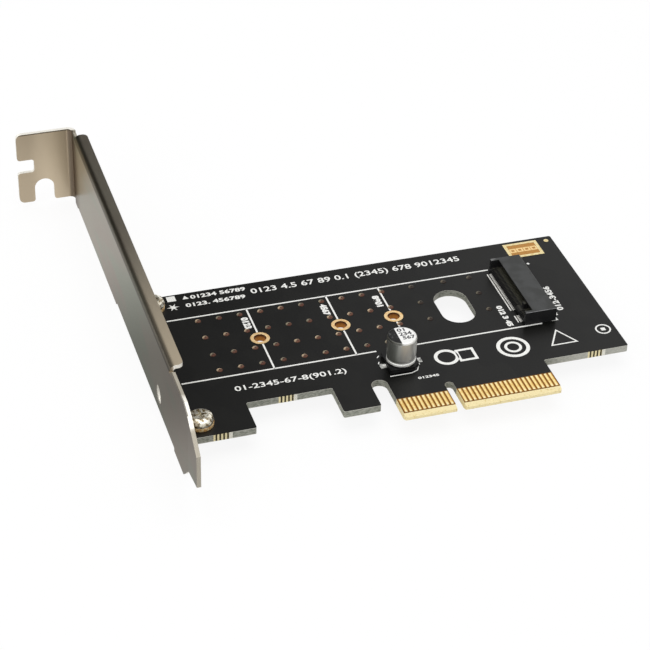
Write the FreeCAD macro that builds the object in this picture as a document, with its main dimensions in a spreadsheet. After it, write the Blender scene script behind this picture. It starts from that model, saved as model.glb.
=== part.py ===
import FreeCAD, Part
import math
import os
import Sketcher

# M.2 (NVMe) to PCI Express x4 adapter card with its full-height slot bracket.
# Frame, in millimetres: the origin is the card-edge datum, which is the middle of the key notch (x),
# the tip of the contact edge (y) and the board's middle plane (z). X runs along the contact edge
# away from the bracket, Y from the contact edge to the board's back edge, Z towards the
# component side.

document = FreeCAD.newDocument("NvmeAdapterCard")
sheet = document.addObject("Spreadsheet::Sheet", "Sizes")

sizeList = [
    # board blank
    ("boardThick", 1.6),
    ("boardRight", 41.55),
    ("boardBack", 54.3),
    ("rightEdge", 10.3),
    ("bracketGap", 0.74),
    ("cornerRound", 0.4),
    ("cutPast", 1.0),
    # contact tongue with its key notch
    ("padPitch", 1.0),
    ("padWidth", 0.7),
    ("padLow", 1.32),
    ("padLong", 4.33),
    ("padThick", 0.05),
    ("keyToPad", 1.5),
    ("padToSide", 0.65),
    ("keyWidth", 1.9),
    ("keyDeep", 8.55),
    ("bevelRun", 1.3),
    ("bevelDrop", 0.48),
    ("tongueCorner", 0.5),
    # retention hook beside the tongue, and the foot under the bracket end
    ("slotWide", 3.55),
    ("slotDeep", 13.1),
    ("hookWide", 8.0),
    ("hookLow", 4.8),
    ("bayWide", 18.4),
    ("bayDeep", 13.1),
    ("footLow", 4.7),
    # module holes along the middle of the M.2 card
    ("moduleAxis", 33.8),
    ("firstHole", -3.25),
    ("moduleHole", 2.7),
    ("eyeletRing", 4.15),
    ("plating", 0.06),
    # relief hole under the module
    ("ovalMiddle", 10.75),
    ("ovalWide", 7.5),
    ("ovalLong", 12.4),
    # marks in bare gold
    ("frameLeft", 29.5),
    ("frameLow", 47.8),
    ("frameWide", 8.15),
    ("frameHigh", 5.65),
    ("frameBand", 0.72),
    ("targetAcross", 39.95),
    ("targetUp", 52.65),
    ("targetWide", 1.1),
    # bracket, one folded sheet
    ("sheetThick", 0.86),
    ("stripFace", -58.5),
    ("stripRise", 14.4),
    ("stripWide", 18.42),
    ("bracketLong", 120.02),
    ("flangeSeat", 106.3),
    ("flangeReach", 13.0),
    ("flangeCorner", 1.3),
    ("bendInside", 0.6),
    ("flangeBend", 1.2),
    ("edgeDrop", 0.4),
    ("lipWide", 3.0),
    ("lipLow", 10.6),
    ("lipHigh", 103.0),
    ("lipCorner", 1.2),
    ("lipRelief", 1.6),
    ("taperStart", -0.9),
    ("taperLow", 0.2),
    ("taperEnd", -4.1),
    ("tongueRoot", 3.4),
    ("tipRise", 6.4),
    ("tipWide", 7.4),
    ("tipLean", 0.5),
    ("skirtDrop", 0.8),
    ("skirtFront", 7.8),
    ("skirtRear", 61.0),
    ("screwSlotAcross", 6.95),
    ("screwSlotWide", 4.6),
    ("screwSlotDeep", 5.9),
    ("notchReach", 3.9),
    ("notchLow", 8.1),
    ("notchHigh", 3.4),
    ("ventUp", 20.9),
    ("ventLow", 3.9),
    ("ventWide", 4.2),
    ("nubLong", 2.6),
    ("nubDrop", 1.3),
    # board screws and the bracket's two tabs under the board
    ("screwAcross", 5.8),
    ("screwFront", 9.0),
    ("screwRear", 50.8),
    ("tabBelow", 2.9),
    ("tabAbove", 4.1),
    ("tabLong", 9.0),
    ("tabLeg", 2.2),
    ("screwWide", 3.0),
    ("screwGap", 0.1),
    ("threadGap", 0.03),
    ("screwLong", 4.2),
    ("headWide", 5.4),
    ("headHigh", 1.75),
    ("headEdge", 0.55),
    ("shoulderWide", 4.86),
    ("shoulderHigh", 1.26),
    ("crownWide", 3.35),
    ("crownDrop", 0.08),
    ("crossWide", 2.6),
    ("crossArm", 0.55),
    ("crossDeep", 0.9),
    ("washerThick", 0.7),
    ("washerWide", 5.5),
    ("washerSplit", 0.7),
    # M.2 socket
    ("socketFront", 23.0),
    ("socketDeep", 7.1),
    ("socketLong", 21.7),
    ("socketHigh", 3.15),
    ("jawSetback", 1.8),
    ("mouthLow", 1.25),
    ("mouthHigh", 1.05),
    ("mouthDeep", 4.1),
    ("mouthChamfer", 0.3),
    ("jawLip", 0.35),
    ("jawRake", 0.45),
    ("backChamfer", 0.25),
    ("endWall", 0.8),
    ("wallRoot", 0.2),
    ("keyRib", 1.0),
    ("ribFront", 1.2),
    ("keyOffset", 6.125),
    ("contactPitch", 0.5),
    ("contactWide", 0.22),
    ("contactThick", 0.15),
    ("contactSlot", 0.3),
    ("slotRoom", 0.1),
    ("frontSlotEnd", 3.7),
    ("rearSlotDeep", 0.8),
    ("contactTail", 0.95),
    ("rearTail", 0.7),
    ("rearRoot", 0.7),
    ("riserBack", 0.5),
    ("beamRoot", 0.35),
    ("beamCrest", 0.05),
    ("crestBack", 2.7),
    ("beamDip", 0.25),
    ("beamEnd", 3.5),
    ("firstContact", 9.25),
    ("upperOffset", 0.25),
    ("pegWide", 1.1),
    ("pegSpan", 18.8),
    ("pegGap", 0.06),
    ("pegShort", 0.2),
    # electrolytic capacitor
    ("canAcross", -7.3),
    ("canUp", 17.3),
    ("canWide", 6.3),
    ("canTop", 7.3),
    ("canRound", 0.45),
    ("canShoulder", 0.135),
    ("canFoot", 0.25),
    ("canNeck", 0.28),
    ("neckUp", 1.1),
    ("neckFlat", 0.3),
    ("neckWide", 0.9),
    ("baseWide", 6.6),
    ("baseHigh", 1.0),
    ("baseCorner", 1.3),
    ("leadWide", 0.7),
    ("leadThick", 0.2),
    ("leadReach", 3.95),
    ("leadRoot", 1.0),
    ("leadStem", 0.3),
    ("leadGap", 0.05),
    ("leadCover", 0.03),
    ("leadHole", 0.4),
    ("landWide", 1.6),
    ("landLong", 3.2),
    ("landReach", 4.6),
    ("landThick", 0.05),
]

shortPads = 11
longPads = 21
mainContacts = 29
keyedContacts = 5
keyedUpper = 4
moduleSteps = {"30": 0, "42": 12, "60": 30, "80": 50}


# a size: its number, and the expression that binds a property to the sheet
class Dim:

    def __init__(self, value, text):
        self.value = value
        self.text = text

    def __add__(self, other):
        other = dim(other)
        return Dim(self.value + other.value, f"({self.text} + {other.text})")

    def __sub__(self, other):
        other = dim(other)
        return Dim(self.value - other.value, f"({self.text} - {other.text})")

    def __mul__(self, other):
        other = dim(other)
        return Dim(self.value * other.value, f"({self.text} * {other.text})")

    def __truediv__(self, other):
        other = dim(other)
        return Dim(self.value / other.value, f"({self.text} / {other.text})")

    def __neg__(self):
        return Dim(-self.value, f"(0 - {self.text})")

    def __radd__(self, other):
        return dim(other) + self

    def __rsub__(self, other):
        return dim(other) - self

    def __rmul__(self, other):
        return dim(other) * self


def dim(value):
    if isinstance(value, Dim):
        return value
    return Dim(float(value), repr(float(value)))


# the sheet's sizes by name, each one a Dim
class Sizes:
    pass


sizes = Sizes()
for row, (name, value) in enumerate(sizeList, start=1):
    sheet.set(f"A{row}", name)
    sheet.set(f"B{row}", str(value))
    sheet.setAlias(f"B{row}", name)
    setattr(sizes, name, Dim(value, f"Sizes.{name}"))
document.recompute()

s = sizes
nodes = []


# ---- helpers -----------------------------------------------------------------

def newBody(label):
    body = document.addObject("PartDesign::Body", label)
    body.Label = label
    if hasattr(body, "AllowCompound"):
        body.AllowCompound = True
    nodes.append(body)
    return body


def originPlane(body, role):
    return next(item for item in body.Origin.OriginFeatures if item.Role == role)


def newSketch(body, name, role, offset=0):
    """Sketch on one of the body's origin planes, moved along the plane's normal."""
    sketch = body.newObject("Sketcher::SketchObject", name)
    sketch.AttachmentSupport = (originPlane(body, role), [""])
    sketch.MapMode = "FlatFace"
    offset = dim(offset)
    sketch.AttachmentOffset = FreeCAD.Placement(FreeCAD.Vector(0, 0, offset.value), FreeCAD.Rotation())
    sketch.setExpression("AttachmentOffset.Base.z", offset.text)
    return sketch


def constrain(sketch, kind, geometry, point, value):
    """Hold one coordinate, or a radius, at a size."""
    value = dim(value)
    if kind == "Radius":
        index = sketch.addConstraint(Sketcher.Constraint(kind, geometry, value.value))
    else:
        index = sketch.addConstraint(Sketcher.Constraint(kind, -1, 1, geometry, point, value.value))
    sketch.setExpression(f"Constraints[{index}]", value.text)


def addPolygon(sketch, points):
    """Closed outline with straight sides through the given corners."""
    points = [(dim(x), dim(y)) for x, y in points]
    first = sketch.GeometryCount
    for index, (x, y) in enumerate(points):
        nextX, nextY = points[(index + 1) % len(points)]
        start = FreeCAD.Vector(x.value, y.value, 0)
        end = FreeCAD.Vector(nextX.value, nextY.value, 0)
        sketch.addGeometry(Part.LineSegment(start, end))
    for index, (x, y) in enumerate(points):
        follower = first + (index + 1) % len(points)
        sketch.addConstraint(Sketcher.Constraint("Coincident", first + index, 2, follower, 1))
        constrain(sketch, "DistanceX", first + index, 1, x)
        constrain(sketch, "DistanceY", first + index, 1, y)


def addRectangle(sketch, left, low, right, high):
    addPolygon(sketch, [(left, low), (right, low), (right, high), (left, high)])


def addCircle(sketch, x, y, radius):
    x, y, radius = dim(x), dim(y), dim(radius)
    centre = FreeCAD.Vector(x.value, y.value, 0)
    circle = Part.Circle(centre, FreeCAD.Vector(0, 0, 1), radius.value)
    index = sketch.addGeometry(circle)
    constrain(sketch, "DistanceX", index, 3, x)
    constrain(sketch, "DistanceY", index, 3, y)
    constrain(sketch, "Radius", index, 0, radius)


def pad(body, sketch, length, reverse=False, middle=False):
    feature = body.newObject("PartDesign::Pad", sketch.Name + "Pad")
    feature.Profile = sketch
    feature.Length = dim(length).value
    feature.setExpression("Length", dim(length).text)
    feature.Reversed = reverse
    feature.Midplane = middle
    return feature


def loft(body, first, last):
    feature = body.newObject("PartDesign::AdditiveLoft", first.Name + "Loft")
    feature.Profile = first
    feature.Sections = [last]
    feature.Ruled = True
    return feature


def pocket(body, sketch, length=None, reverse=False):
    """Cut the sketch: through the whole body both ways, or to a depth on one side."""
    feature = body.newObject("PartDesign::Pocket", sketch.Name + "Pocket")
    feature.Profile = sketch
    if length is None:
        feature.Type = "ThroughAll"
        feature.Midplane = True
    else:
        feature.Length = dim(length).value
        feature.setExpression("Length", dim(length).text)
        feature.Reversed = reverse
    return feature


def revolve(body, sketch):
    """Turn a profile drawn on the XZ plane about the body's own Z axis."""
    feature = body.newObject("PartDesign::Revolution", sketch.Name + "Turn")
    feature.Profile = sketch
    axis = next(item for item in body.Origin.OriginFeatures if item.Role == "Z_Axis")
    feature.ReferenceAxis = (axis, [""])
    feature.Angle = 360
    return feature


def repeat(body, feature, count, pitch, role):
    """Linear pattern of a feature along one of the body's axes."""
    pattern = body.newObject("PartDesign::LinearPattern", feature.Name + "Row")
    axis = next(item for item in body.Origin.OriginFeatures if item.Role == role)
    pattern.Originals = [feature]
    pattern.Direction = (axis, [""])
    length = dim(pitch) * (count - 1)
    pattern.Length = length.value
    pattern.setExpression("Length", length.text)
    pattern.Occurrences = count
    body.Tip = pattern
    return pattern


def roundEdges(body, feature, radius, corners, direction):
    """Fillet the straight edges that run along a direction through the given corners."""
    document.recompute()
    direction = FreeCAD.Vector(*direction)
    names = []
    for index, edge in enumerate(feature.Shape.Edges, start=1):
        if edge.Curve.TypeId != "Part::GeomLine":
            continue
        start, end = edge.Vertexes[0].Point, edge.Vertexes[-1].Point
        along = end - start
        if abs(along.normalize().dot(direction)) < 0.999:
            continue
        for corner in corners:
            point = FreeCAD.Vector(*[dim(value).value for value in corner])
            apart = point - start
            if (apart - direction * apart.dot(direction)).Length < 0.01:
                names.append(f"Edge{index}")
                break
    fillet = body.newObject("PartDesign::Fillet", feature.Name + "Round")
    fillet.Base = (feature, names)
    fillet.Radius = dim(radius).value
    fillet.setExpression("Radius", dim(radius).text)
    return fillet


def place(body, x, y, z):
    for axis, value in zip("xyz", (x, y, z)):
        body.setExpression(f"Placement.Base.{axis}", dim(value).text)


# ---- places that several pieces share ------------------------------------------

boardTop = s.boardThick / 2
boardUnder = -s.boardThick / 2
stripInside = s.stripFace + s.sheetThick
boardLeft = stripInside + s.bracketGap
tongueLeft = -(s.keyToPad + s.padPitch * (shortPads - 1) + s.padToSide)
tongueRight = s.keyToPad + s.padPitch * (longPads - 1) + s.padToSide
hookRight = tongueLeft - s.slotWide
hookLeft = hookRight - s.hookWide
footRight = hookLeft - s.bayWide
screwX = stripInside + s.screwAcross - s.sheetThick
stripTop = boardTop + s.stripRise
stripLow = stripTop - s.stripWide
socketMiddle = s.moduleAxis
moduleHoles = {name: s.firstHole - step for name, step in moduleSteps.items()}
holeRadius = s.moduleHole / 2 + s.plating


# ---- printed circuit board ------------------------------------------------------

def makeBoard():
    body = newBody("pcb")
    slotTop = s.slotDeep - s.slotWide / 2
    outline = newSketch(body, "BoardOutline", "XY_Plane")
    addPolygon(outline, [
        (boardLeft, s.footLow), (footRight, s.footLow), (footRight, s.bayDeep), (hookLeft, s.bayDeep),
        (hookLeft, s.hookLow), (hookRight, s.hookLow), (hookRight, slotTop), (tongueLeft, slotTop),
        (tongueLeft, 0), (tongueRight, 0), (tongueRight, s.rightEdge), (s.boardRight, s.rightEdge),
        (s.boardRight, s.boardBack), (boardLeft, s.boardBack)])
    blank = pad(body, outline, s.boardThick, middle=True)
    tips = [(tongueLeft, 0, 0), (tongueRight, 0, 0)]
    cornerRound = roundEdges(body, blank, s.tongueCorner, tips, (0, 0, 1))
    outer = [(footRight, s.footLow, 0), (footRight, s.bayDeep, 0), (hookLeft, s.hookLow, 0),
             (hookLeft, s.bayDeep, 0), (hookRight, s.hookLow, 0), (tongueRight, s.rightEdge, 0),
             (s.boardRight, s.rightEdge, 0), (s.boardRight, s.boardBack, 0),
             (boardLeft, s.boardBack, 0), (boardLeft, s.footLow, 0)]
    roundEdges(body, cornerRound, s.cornerRound, outer, (0, 0, 1))

    slotEnd = newSketch(body, "HookSlotEnd", "XY_Plane")
    addCircle(slotEnd, (hookRight + tongueLeft) / 2, slotTop, s.slotWide / 2)
    pocket(body, slotEnd)
    key = newSketch(body, "KeyNotch", "XY_Plane")
    keyTop = s.keyDeep - s.keyWidth / 2
    addRectangle(key, -s.keyWidth / 2, -s.cutPast, s.keyWidth / 2, keyTop)
    pocket(body, key)
    keyEnd = newSketch(body, "KeyNotchEnd", "XY_Plane")
    addCircle(keyEnd, 0, keyTop, s.keyWidth / 2)
    pocket(body, keyEnd)

    oval = newSketch(body, "OvalMiddle", "XY_Plane")
    ovalHalf = (s.ovalLong - s.ovalWide) / 2
    addRectangle(oval, s.ovalMiddle - s.ovalWide / 2, s.moduleAxis - ovalHalf,
                 s.ovalMiddle + s.ovalWide / 2, s.moduleAxis + ovalHalf)
    pocket(body, oval)
    for side in (-1, 1):
        ovalEnd = newSketch(body, "OvalLow" if side < 0 else "OvalHigh", "XY_Plane")
        addCircle(ovalEnd, s.ovalMiddle, s.moduleAxis + ovalHalf * side, s.ovalWide / 2)
        pocket(body, ovalEnd)

    holes = newSketch(body, "BoardHoles", "XY_Plane")
    for x in moduleHoles.values():
        addCircle(holes, x, s.moduleAxis, holeRadius)
    for y in (s.screwFront, s.screwRear):
        addCircle(holes, screwX, y, s.screwWide / 2 + s.screwGap)
    for side in (-1, 1):
        pegY = socketMiddle + s.pegSpan / 2 * side
        addCircle(holes, s.socketFront + s.socketDeep / 2, pegY, s.pegWide / 2 + s.pegGap)
    pocket(body, holes)

    # both faces of the contact edge are bevelled for insertion
    for side in (-1, 1):
        bevel = newSketch(body, "BevelLow" if side < 0 else "BevelHigh", "YZ_Plane")
        face = boardTop * side
        addPolygon(bevel, [(0, face), (s.bevelRun, face), (0, face - s.bevelDrop * side)])
        pocket(body, bevel)


def makeEdgeContacts(label, side):
    """One face's two rows of gold contacts, left and right of the key."""
    body = newBody(label)
    face = boardTop if side > 0 else boardUnder - s.padThick
    for name, count, first in (("Short", shortPads, -s.keyToPad - s.padPitch * (shortPads - 1)),
                               ("Long", longPads, s.keyToPad)):
        row = newSketch(body, f"{label}{name}", "XY_Plane", face)
        addRectangle(row, first - s.padWidth / 2, s.padLow, first + s.padWidth / 2, s.padLow + s.padLong)
        repeat(body, pad(body, row, s.padThick), count, s.padPitch, "X_Axis")


def makeEyelet(label, x):
    """Plated module hole: a barrel with a ring on each face."""
    body = newBody(label)
    profile = newSketch(body, f"{label}Profile", "XZ_Plane")
    inner, outer, ring = s.moduleHole / 2, holeRadius, s.eyeletRing / 2
    high, low = boardTop, boardUnder
    addPolygon(profile, [
        (inner, low - s.plating), (ring, low - s.plating), (ring, low), (outer, low),
        (outer, high), (ring, high), (ring, high + s.plating), (inner, high + s.plating)])
    revolve(body, profile)
    place(body, x, s.moduleAxis, 0)


def makeGoldMarks():
    frame = newBody("gold_label_frame")
    border = newSketch(frame, "FrameBorder", "XY_Plane", boardTop)
    right, high = s.frameLeft + s.frameWide, s.frameLow + s.frameHigh
    addRectangle(border, s.frameLeft, s.frameLow, right, high)
    addRectangle(border, s.frameLeft + s.frameBand, s.frameLow + s.frameBand,
                 right - s.frameBand, high - s.frameBand)
    pad(frame, border, s.padThick)
    target = newBody("fiducial_pad")
    disc = newSketch(target, "TargetDisc", "XY_Plane", boardTop)
    addCircle(disc, s.targetAcross, s.targetUp, s.targetWide / 2)
    pad(target, disc, s.padThick)


# ---- slot bracket: one sheet, folded --------------------------------------------

def makeBracket():
    body = newBody("slot_bracket")
    bend = s.sheetThick + s.bendInside
    flangeBend = s.sheetThick + s.flangeBend
    edge = stripTop - s.edgeDrop
    tip = s.flangeSeat + s.sheetThick - s.bracketLong
    rootLow, tipLow = stripLow + s.tongueRoot, stripLow + s.tipRise
    tipHigh = tipLow + s.tipWide
    taper = (edge - tipHigh) / (s.taperStart - tip)
    rootHigh = edge - taper * (s.taperStart - s.taperEnd)
    skirtLow = stripLow - s.skirtDrop
    bendStart = s.flangeSeat - s.flangeBend
    nubLow = bendStart - s.nubLong

    # strip, a little wider past both ends of the row of tabs
    strip = newSketch(body, "StripOutline", "YZ_Plane", s.stripFace)
    addPolygon(strip, [
        (s.taperEnd, rootLow), (s.taperLow, skirtLow), (s.skirtFront, skirtLow), (s.skirtFront, stripLow),
        (s.skirtRear, stripLow), (s.skirtRear, skirtLow), (nubLow, skirtLow),
        (nubLow, stripLow - s.nubDrop), (nubLow + s.nubLong, stripLow - s.nubDrop),
        (bendStart, edge), (s.lipHigh, edge), (s.lipHigh, stripTop - bend),
        (s.lipLow - s.lipRelief, stripTop - bend), (s.lipLow - s.lipRelief, edge),
        (s.taperStart, edge), (s.taperEnd, rootHigh)])
    pad(body, strip, s.sheetThick)

    # end tongue, tapered and leaning slightly outward
    root = newSketch(body, "TongueRoot", "XZ_Plane", -s.taperEnd)
    addRectangle(root, s.stripFace, rootLow, s.stripFace + s.sheetThick, rootHigh)
    end = newSketch(body, "TongueEnd", "XZ_Plane", -tip)
    addRectangle(end, s.stripFace - s.tipLean, tipLow, s.stripFace + s.sheetThick - s.tipLean, tipHigh)
    loft(body, root, end)

    # stiffening lip along the component side
    lip = newSketch(body, "LipFlat", "XY_Plane", stripTop - s.sheetThick)
    addRectangle(lip, s.stripFace + bend, s.lipLow, s.stripFace + s.lipWide, s.lipHigh)
    lipPad = pad(body, lip, s.sheetThick)
    corners = [(s.stripFace + s.lipWide, s.lipLow, 0), (s.stripFace + s.lipWide, s.lipHigh, 0)]
    roundEdges(body, lipPad, s.lipCorner, corners, (0, 0, 1))
    foldAlongY(body, "LipFold", s.stripFace + bend, stripTop - bend, s.lipLow, s.lipHigh)

    # the two angle tabs that carry the board, each with its leg on the strip's inner face
    tabTop = boardUnder
    tabUnder = tabTop - s.sheetThick
    tabBend = stripInside + bend
    for name, y in (("Front", s.screwFront), ("Rear", s.screwRear)):
        low, high = y - s.tabBelow, y + s.tabAbove
        flat = newSketch(body, f"Tab{name}", "XY_Plane", tabUnder)
        addRectangle(flat, tabBend, low, s.stripFace + s.tabLong, high)
        tabPad = pad(body, flat, s.sheetThick)
        tabEnds = [(s.stripFace + s.tabLong, low, 0), (s.stripFace + s.tabLong, high, 0)]
        roundEdges(body, tabPad, s.lipCorner, tabEnds, (0, 0, 1))
        foldAlongY(body, f"TabFold{name}", tabBend, tabTop - bend, low, high)
        leg = newSketch(body, f"TabLeg{name}", "XZ_Plane", -high)
        addRectangle(leg, stripInside, tabTop - s.tabLeg, stripInside + s.sheetThick, tabTop - bend)
        pad(body, leg, high - low)
    threads = newSketch(body, "TabThreads", "XY_Plane", tabUnder - s.cutPast)
    for y in (s.screwFront, s.screwRear):
        addCircle(threads, screwX, y, s.screwWide / 2 + s.threadGap)
    pocket(body, threads, s.sheetThick + s.cutPast * 2, reverse=True)

    # flange that the chassis screw holds, folded away from the board
    flange = newSketch(body, "FlangeOutline", "XZ_Plane", -s.flangeSeat)
    farEnd = s.stripFace - s.flangeReach
    slotMiddle = s.stripFace - s.screwSlotAcross
    slotLeft, slotRight = slotMiddle - s.screwSlotWide / 2, slotMiddle + s.screwSlotWide / 2
    slotTop = stripLow + s.screwSlotDeep - s.screwSlotWide / 2
    notchLow, notchHigh = stripLow + s.notchLow, stripLow + s.notchLow + s.notchHigh
    rootX = s.stripFace - s.flangeBend
    addPolygon(flange, [
        (farEnd, stripLow), (slotLeft, stripLow), (slotLeft, slotTop), (slotRight, slotTop),
        (slotRight, stripLow), (rootX, stripLow), (rootX, stripTop), (farEnd, stripTop),
        (farEnd, notchHigh), (farEnd + s.notchReach, notchHigh), (farEnd + s.notchReach, notchLow),
        (farEnd, notchLow)])
    flangePad = pad(body, flange, s.sheetThick, reverse=True)
    flangeEnds = [(farEnd, 0, stripLow), (farEnd, 0, stripTop)]
    rounded = roundEdges(body, flangePad, s.flangeCorner, flangeEnds, (0, 1, 0))
    smallEnds = [(slotLeft, 0, stripLow), (slotRight, 0, stripLow), (farEnd, 0, notchLow),
                 (farEnd, 0, notchHigh), (farEnd + s.notchReach, 0, notchLow),
                 (farEnd + s.notchReach, 0, notchHigh)]
    roundEdges(body, rounded, s.flangeCorner / 2, smallEnds, (0, 1, 0))
    crown = newSketch(body, "ScrewSlotCrown", "XZ_Plane", -s.flangeSeat + s.cutPast)
    addCircle(crown, slotMiddle, slotTop, s.screwSlotWide / 2)
    pocket(body, crown, s.sheetThick + s.cutPast * 2)
    foldAlongZ(body, s.stripFace - s.flangeBend, bendStart, stripLow, stripTop)

    vent = newSketch(body, "StripHole", "YZ_Plane", s.stripFace - s.cutPast)
    addCircle(vent, s.ventUp, stripLow + s.ventLow, s.ventWide / 2)
    pocket(body, vent, s.sheetThick + s.cutPast * 2, reverse=True)


def addFoldProfile(sketch, centreX, centreY, inner, outer, startAngle):
    """Quarter ring of folded sheet about a fold's centre."""
    centreX, centreY, inner, outer = dim(centreX), dim(centreY), dim(inner), dim(outer)
    centre = FreeCAD.Vector(centreX.value, centreY.value, 0)
    normal = FreeCAD.Vector(0, 0, 1)
    start, end = math.radians(startAngle), math.radians(startAngle + 90)
    arcs = []
    for radius in (inner, outer):
        circle = Part.Circle(centre, normal, radius.value)
        arcs.append(sketch.addGeometry(Part.ArcOfCircle(circle, start, end)))

    def point(radius, angle):
        return centre + FreeCAD.Vector(math.cos(angle), math.sin(angle), 0) * radius.value

    first = sketch.addGeometry(Part.LineSegment(point(inner, start), point(outer, start)))
    last = sketch.addGeometry(Part.LineSegment(point(inner, end), point(outer, end)))
    for line, arcEnd in ((first, 1), (last, 2)):
        sketch.addConstraint(Sketcher.Constraint("Coincident", line, 1, arcs[0], arcEnd))
        sketch.addConstraint(Sketcher.Constraint("Coincident", line, 2, arcs[1], arcEnd))
    firstLevel = "Horizontal" if startAngle % 180 == 0 else "Vertical"
    lastLevel = "Vertical" if firstLevel == "Horizontal" else "Horizontal"
    sketch.addConstraint(Sketcher.Constraint(firstLevel, first))
    sketch.addConstraint(Sketcher.Constraint(lastLevel, last))
    for arc, radius in zip(arcs, (inner, outer)):
        constrain(sketch, "DistanceX", arc, 3, centreX)
        constrain(sketch, "DistanceY", arc, 3, centreY)
        constrain(sketch, "Radius", arc, 0, radius)


def foldAlongY(body, name, centreX, centreZ, low, high):
    """Fold between an upright sheet and a flange towards the board, running along Y."""
    fold = newSketch(body, name, "XZ_Plane", -high)
    addFoldProfile(fold, centreX, centreZ, s.bendInside, s.bendInside + s.sheetThick, 90)
    pad(body, fold, high - low)


def foldAlongZ(body, centreX, centreY, low, high):
    """Fold between the strip and the chassis flange, running along Z."""
    fold = newSketch(body, "FlangeFold", "XY_Plane", low)
    addFoldProfile(fold, centreX, centreY, s.flangeBend, s.flangeBend + s.sheetThick, 0)
    pad(body, fold, high - low)


# ---- screws and split washers that hold the board to the tabs ---------------------

def makeScrews():
    """Two identical pan-head screws: one turned solid each, with a cross recess."""
    solids = []
    for name, y in (("Front", s.screwFront), ("Rear", s.screwRear)):
        body = newBody("Screw" + name)
        nodes.remove(body)
        seat = s.washerThick
        shaft, head = s.screwWide / 2, s.headWide / 2
        profile = newSketch(body, f"Screw{name}Profile", "XZ_Plane")
        tip, crown = seat - s.screwLong, seat + s.headHigh
        addPolygon(profile, [
            (0, tip), (shaft, tip), (shaft, seat), (head, seat),
            (head, seat + s.headEdge), (s.shoulderWide / 2, seat + s.shoulderHigh),
            (s.crownWide / 2, crown - s.crownDrop), (0, crown)])
        revolve(body, profile)
        cross = newSketch(body, f"Screw{name}Cross", "XY_Plane", crown)
        arm, reach = s.crossArm / 2, s.crossWide / 2
        addPolygon(cross, [
            (-reach, -arm), (-arm, -arm), (-arm, -reach), (arm, -reach), (arm, -arm), (reach, -arm),
            (reach, arm), (arm, arm), (arm, reach), (-arm, reach), (-arm, arm), (-reach, arm)])
        pocket(body, cross, s.crossDeep)
        place(body, screwX, y, boardTop)
        solids.append(body)
    return groupNode("bracket_screws", solids)


def makeWashers():
    """Two split lock washers under the screw heads."""
    solids = []
    for name, y in (("Front", s.screwFront), ("Rear", s.screwRear)):
        body = newBody("Washer" + name)
        nodes.remove(body)
        profile = newSketch(body, f"Washer{name}Profile", "XZ_Plane")
        addRectangle(profile, s.screwWide / 2 + s.screwGap, 0, s.washerWide / 2, s.washerThick)
        revolve(body, profile)
        split = newSketch(body, f"Washer{name}Split", "XZ_Plane")
        low, high = -s.cutPast, s.washerThick + s.cutPast
        lean = s.washerSplit / 2 + s.cutPast
        addPolygon(split, [(-lean - s.washerSplit / 2, low), (-lean + s.washerSplit / 2, low),
                           (lean + s.washerSplit / 2, high), (lean - s.washerSplit / 2, high)])
        pocket(body, split, s.washerWide)
        place(body, screwX, y, boardTop)
        solids.append(body)
    return groupNode("lock_washers", solids)


def groupNode(label, solids):
    """Identical fasteners side by side, in one node."""
    group = document.addObject("Part::Compound", label)
    group.Label = label
    group.Links = solids
    nodes.append(group)
    return group


# ---- M.2 socket -----------------------------------------------------------------

def makeSocket():
    body = newBody("m2_socket_housing")
    back = s.socketFront + s.socketDeep
    jaw = s.socketFront + s.jawSetback
    low, top = boardTop, boardTop + s.socketHigh
    mouth, ceiling = low + s.mouthLow, low + s.mouthLow + s.mouthHigh
    mouthEnd = s.socketFront + s.mouthDeep
    half = s.socketLong / 2
    profile = newSketch(body, "SocketSection", "XZ_Plane", -socketMiddle)
    addPolygon(profile, [
        (s.socketFront, low), (back, low), (back, top - s.backChamfer), (back - s.backChamfer, top),
        (jaw, top), (jaw, top - s.jawLip), (jaw + s.jawRake, ceiling), (mouthEnd, ceiling), (mouthEnd, mouth),
        (s.socketFront + s.mouthChamfer, mouth), (s.socketFront, mouth - s.mouthChamfer)])
    pad(body, profile, s.socketLong, middle=True)
    for side in (-1, 1):
        wall = newSketch(body, "EndWallLow" if side < 0 else "EndWallHigh", "XY_Plane", low)
        outer, inner = socketMiddle + half * side, socketMiddle + (half - s.endWall) * side
        first, last = (outer, inner) if side < 0 else (inner, outer)
        addRectangle(wall, s.socketFront, first, mouthEnd + s.wallRoot, last)
        pad(body, wall, s.socketHigh)
    rib = newSketch(body, "KeyRib", "XY_Plane", mouth - s.wallRoot)
    ribMiddle = socketMiddle - s.keyOffset
    addRectangle(rib, s.socketFront + s.ribFront, ribMiddle - s.keyRib / 2,
                 mouthEnd + s.wallRoot, ribMiddle + s.keyRib / 2)
    pad(body, rib, s.mouthHigh + s.wallRoot * 2)
    for side in (-1, 1):
        peg = newSketch(body, "PegLow" if side < 0 else "PegHigh", "XY_Plane", low)
        addCircle(peg, s.socketFront + s.socketDeep / 2, socketMiddle + s.pegSpan / 2 * side, s.pegWide / 2)
        pad(body, peg, s.boardThick - s.pegShort, reverse=True)

    # slots that the contacts lie in, lower row to the front and upper row to the back
    for name, y, count in contactRows(0):
        slot = newSketch(body, f"LowerSlot{name}", "XY_Plane", low)
        addRectangle(slot, s.socketFront - s.cutPast, y - s.contactSlot / 2,
                     s.socketFront + s.frontSlotEnd, y + s.contactSlot / 2)
        cut = pocket(body, slot, s.mouthLow, reverse=True)
        repeat(body, cut, count, s.contactPitch, "Y_Axis")
    for name, y, count in contactRows(1):
        slot = newSketch(body, f"UpperSlot{name}", "XY_Plane", low)
        addRectangle(slot, back - s.rearSlotDeep, y - s.contactSlot / 2, back + s.cutPast, y + s.contactSlot / 2)
        cut = pocket(body, slot, s.contactThick + s.slotRoom, reverse=True)
        repeat(body, cut, count, s.contactPitch, "Y_Axis")


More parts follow.
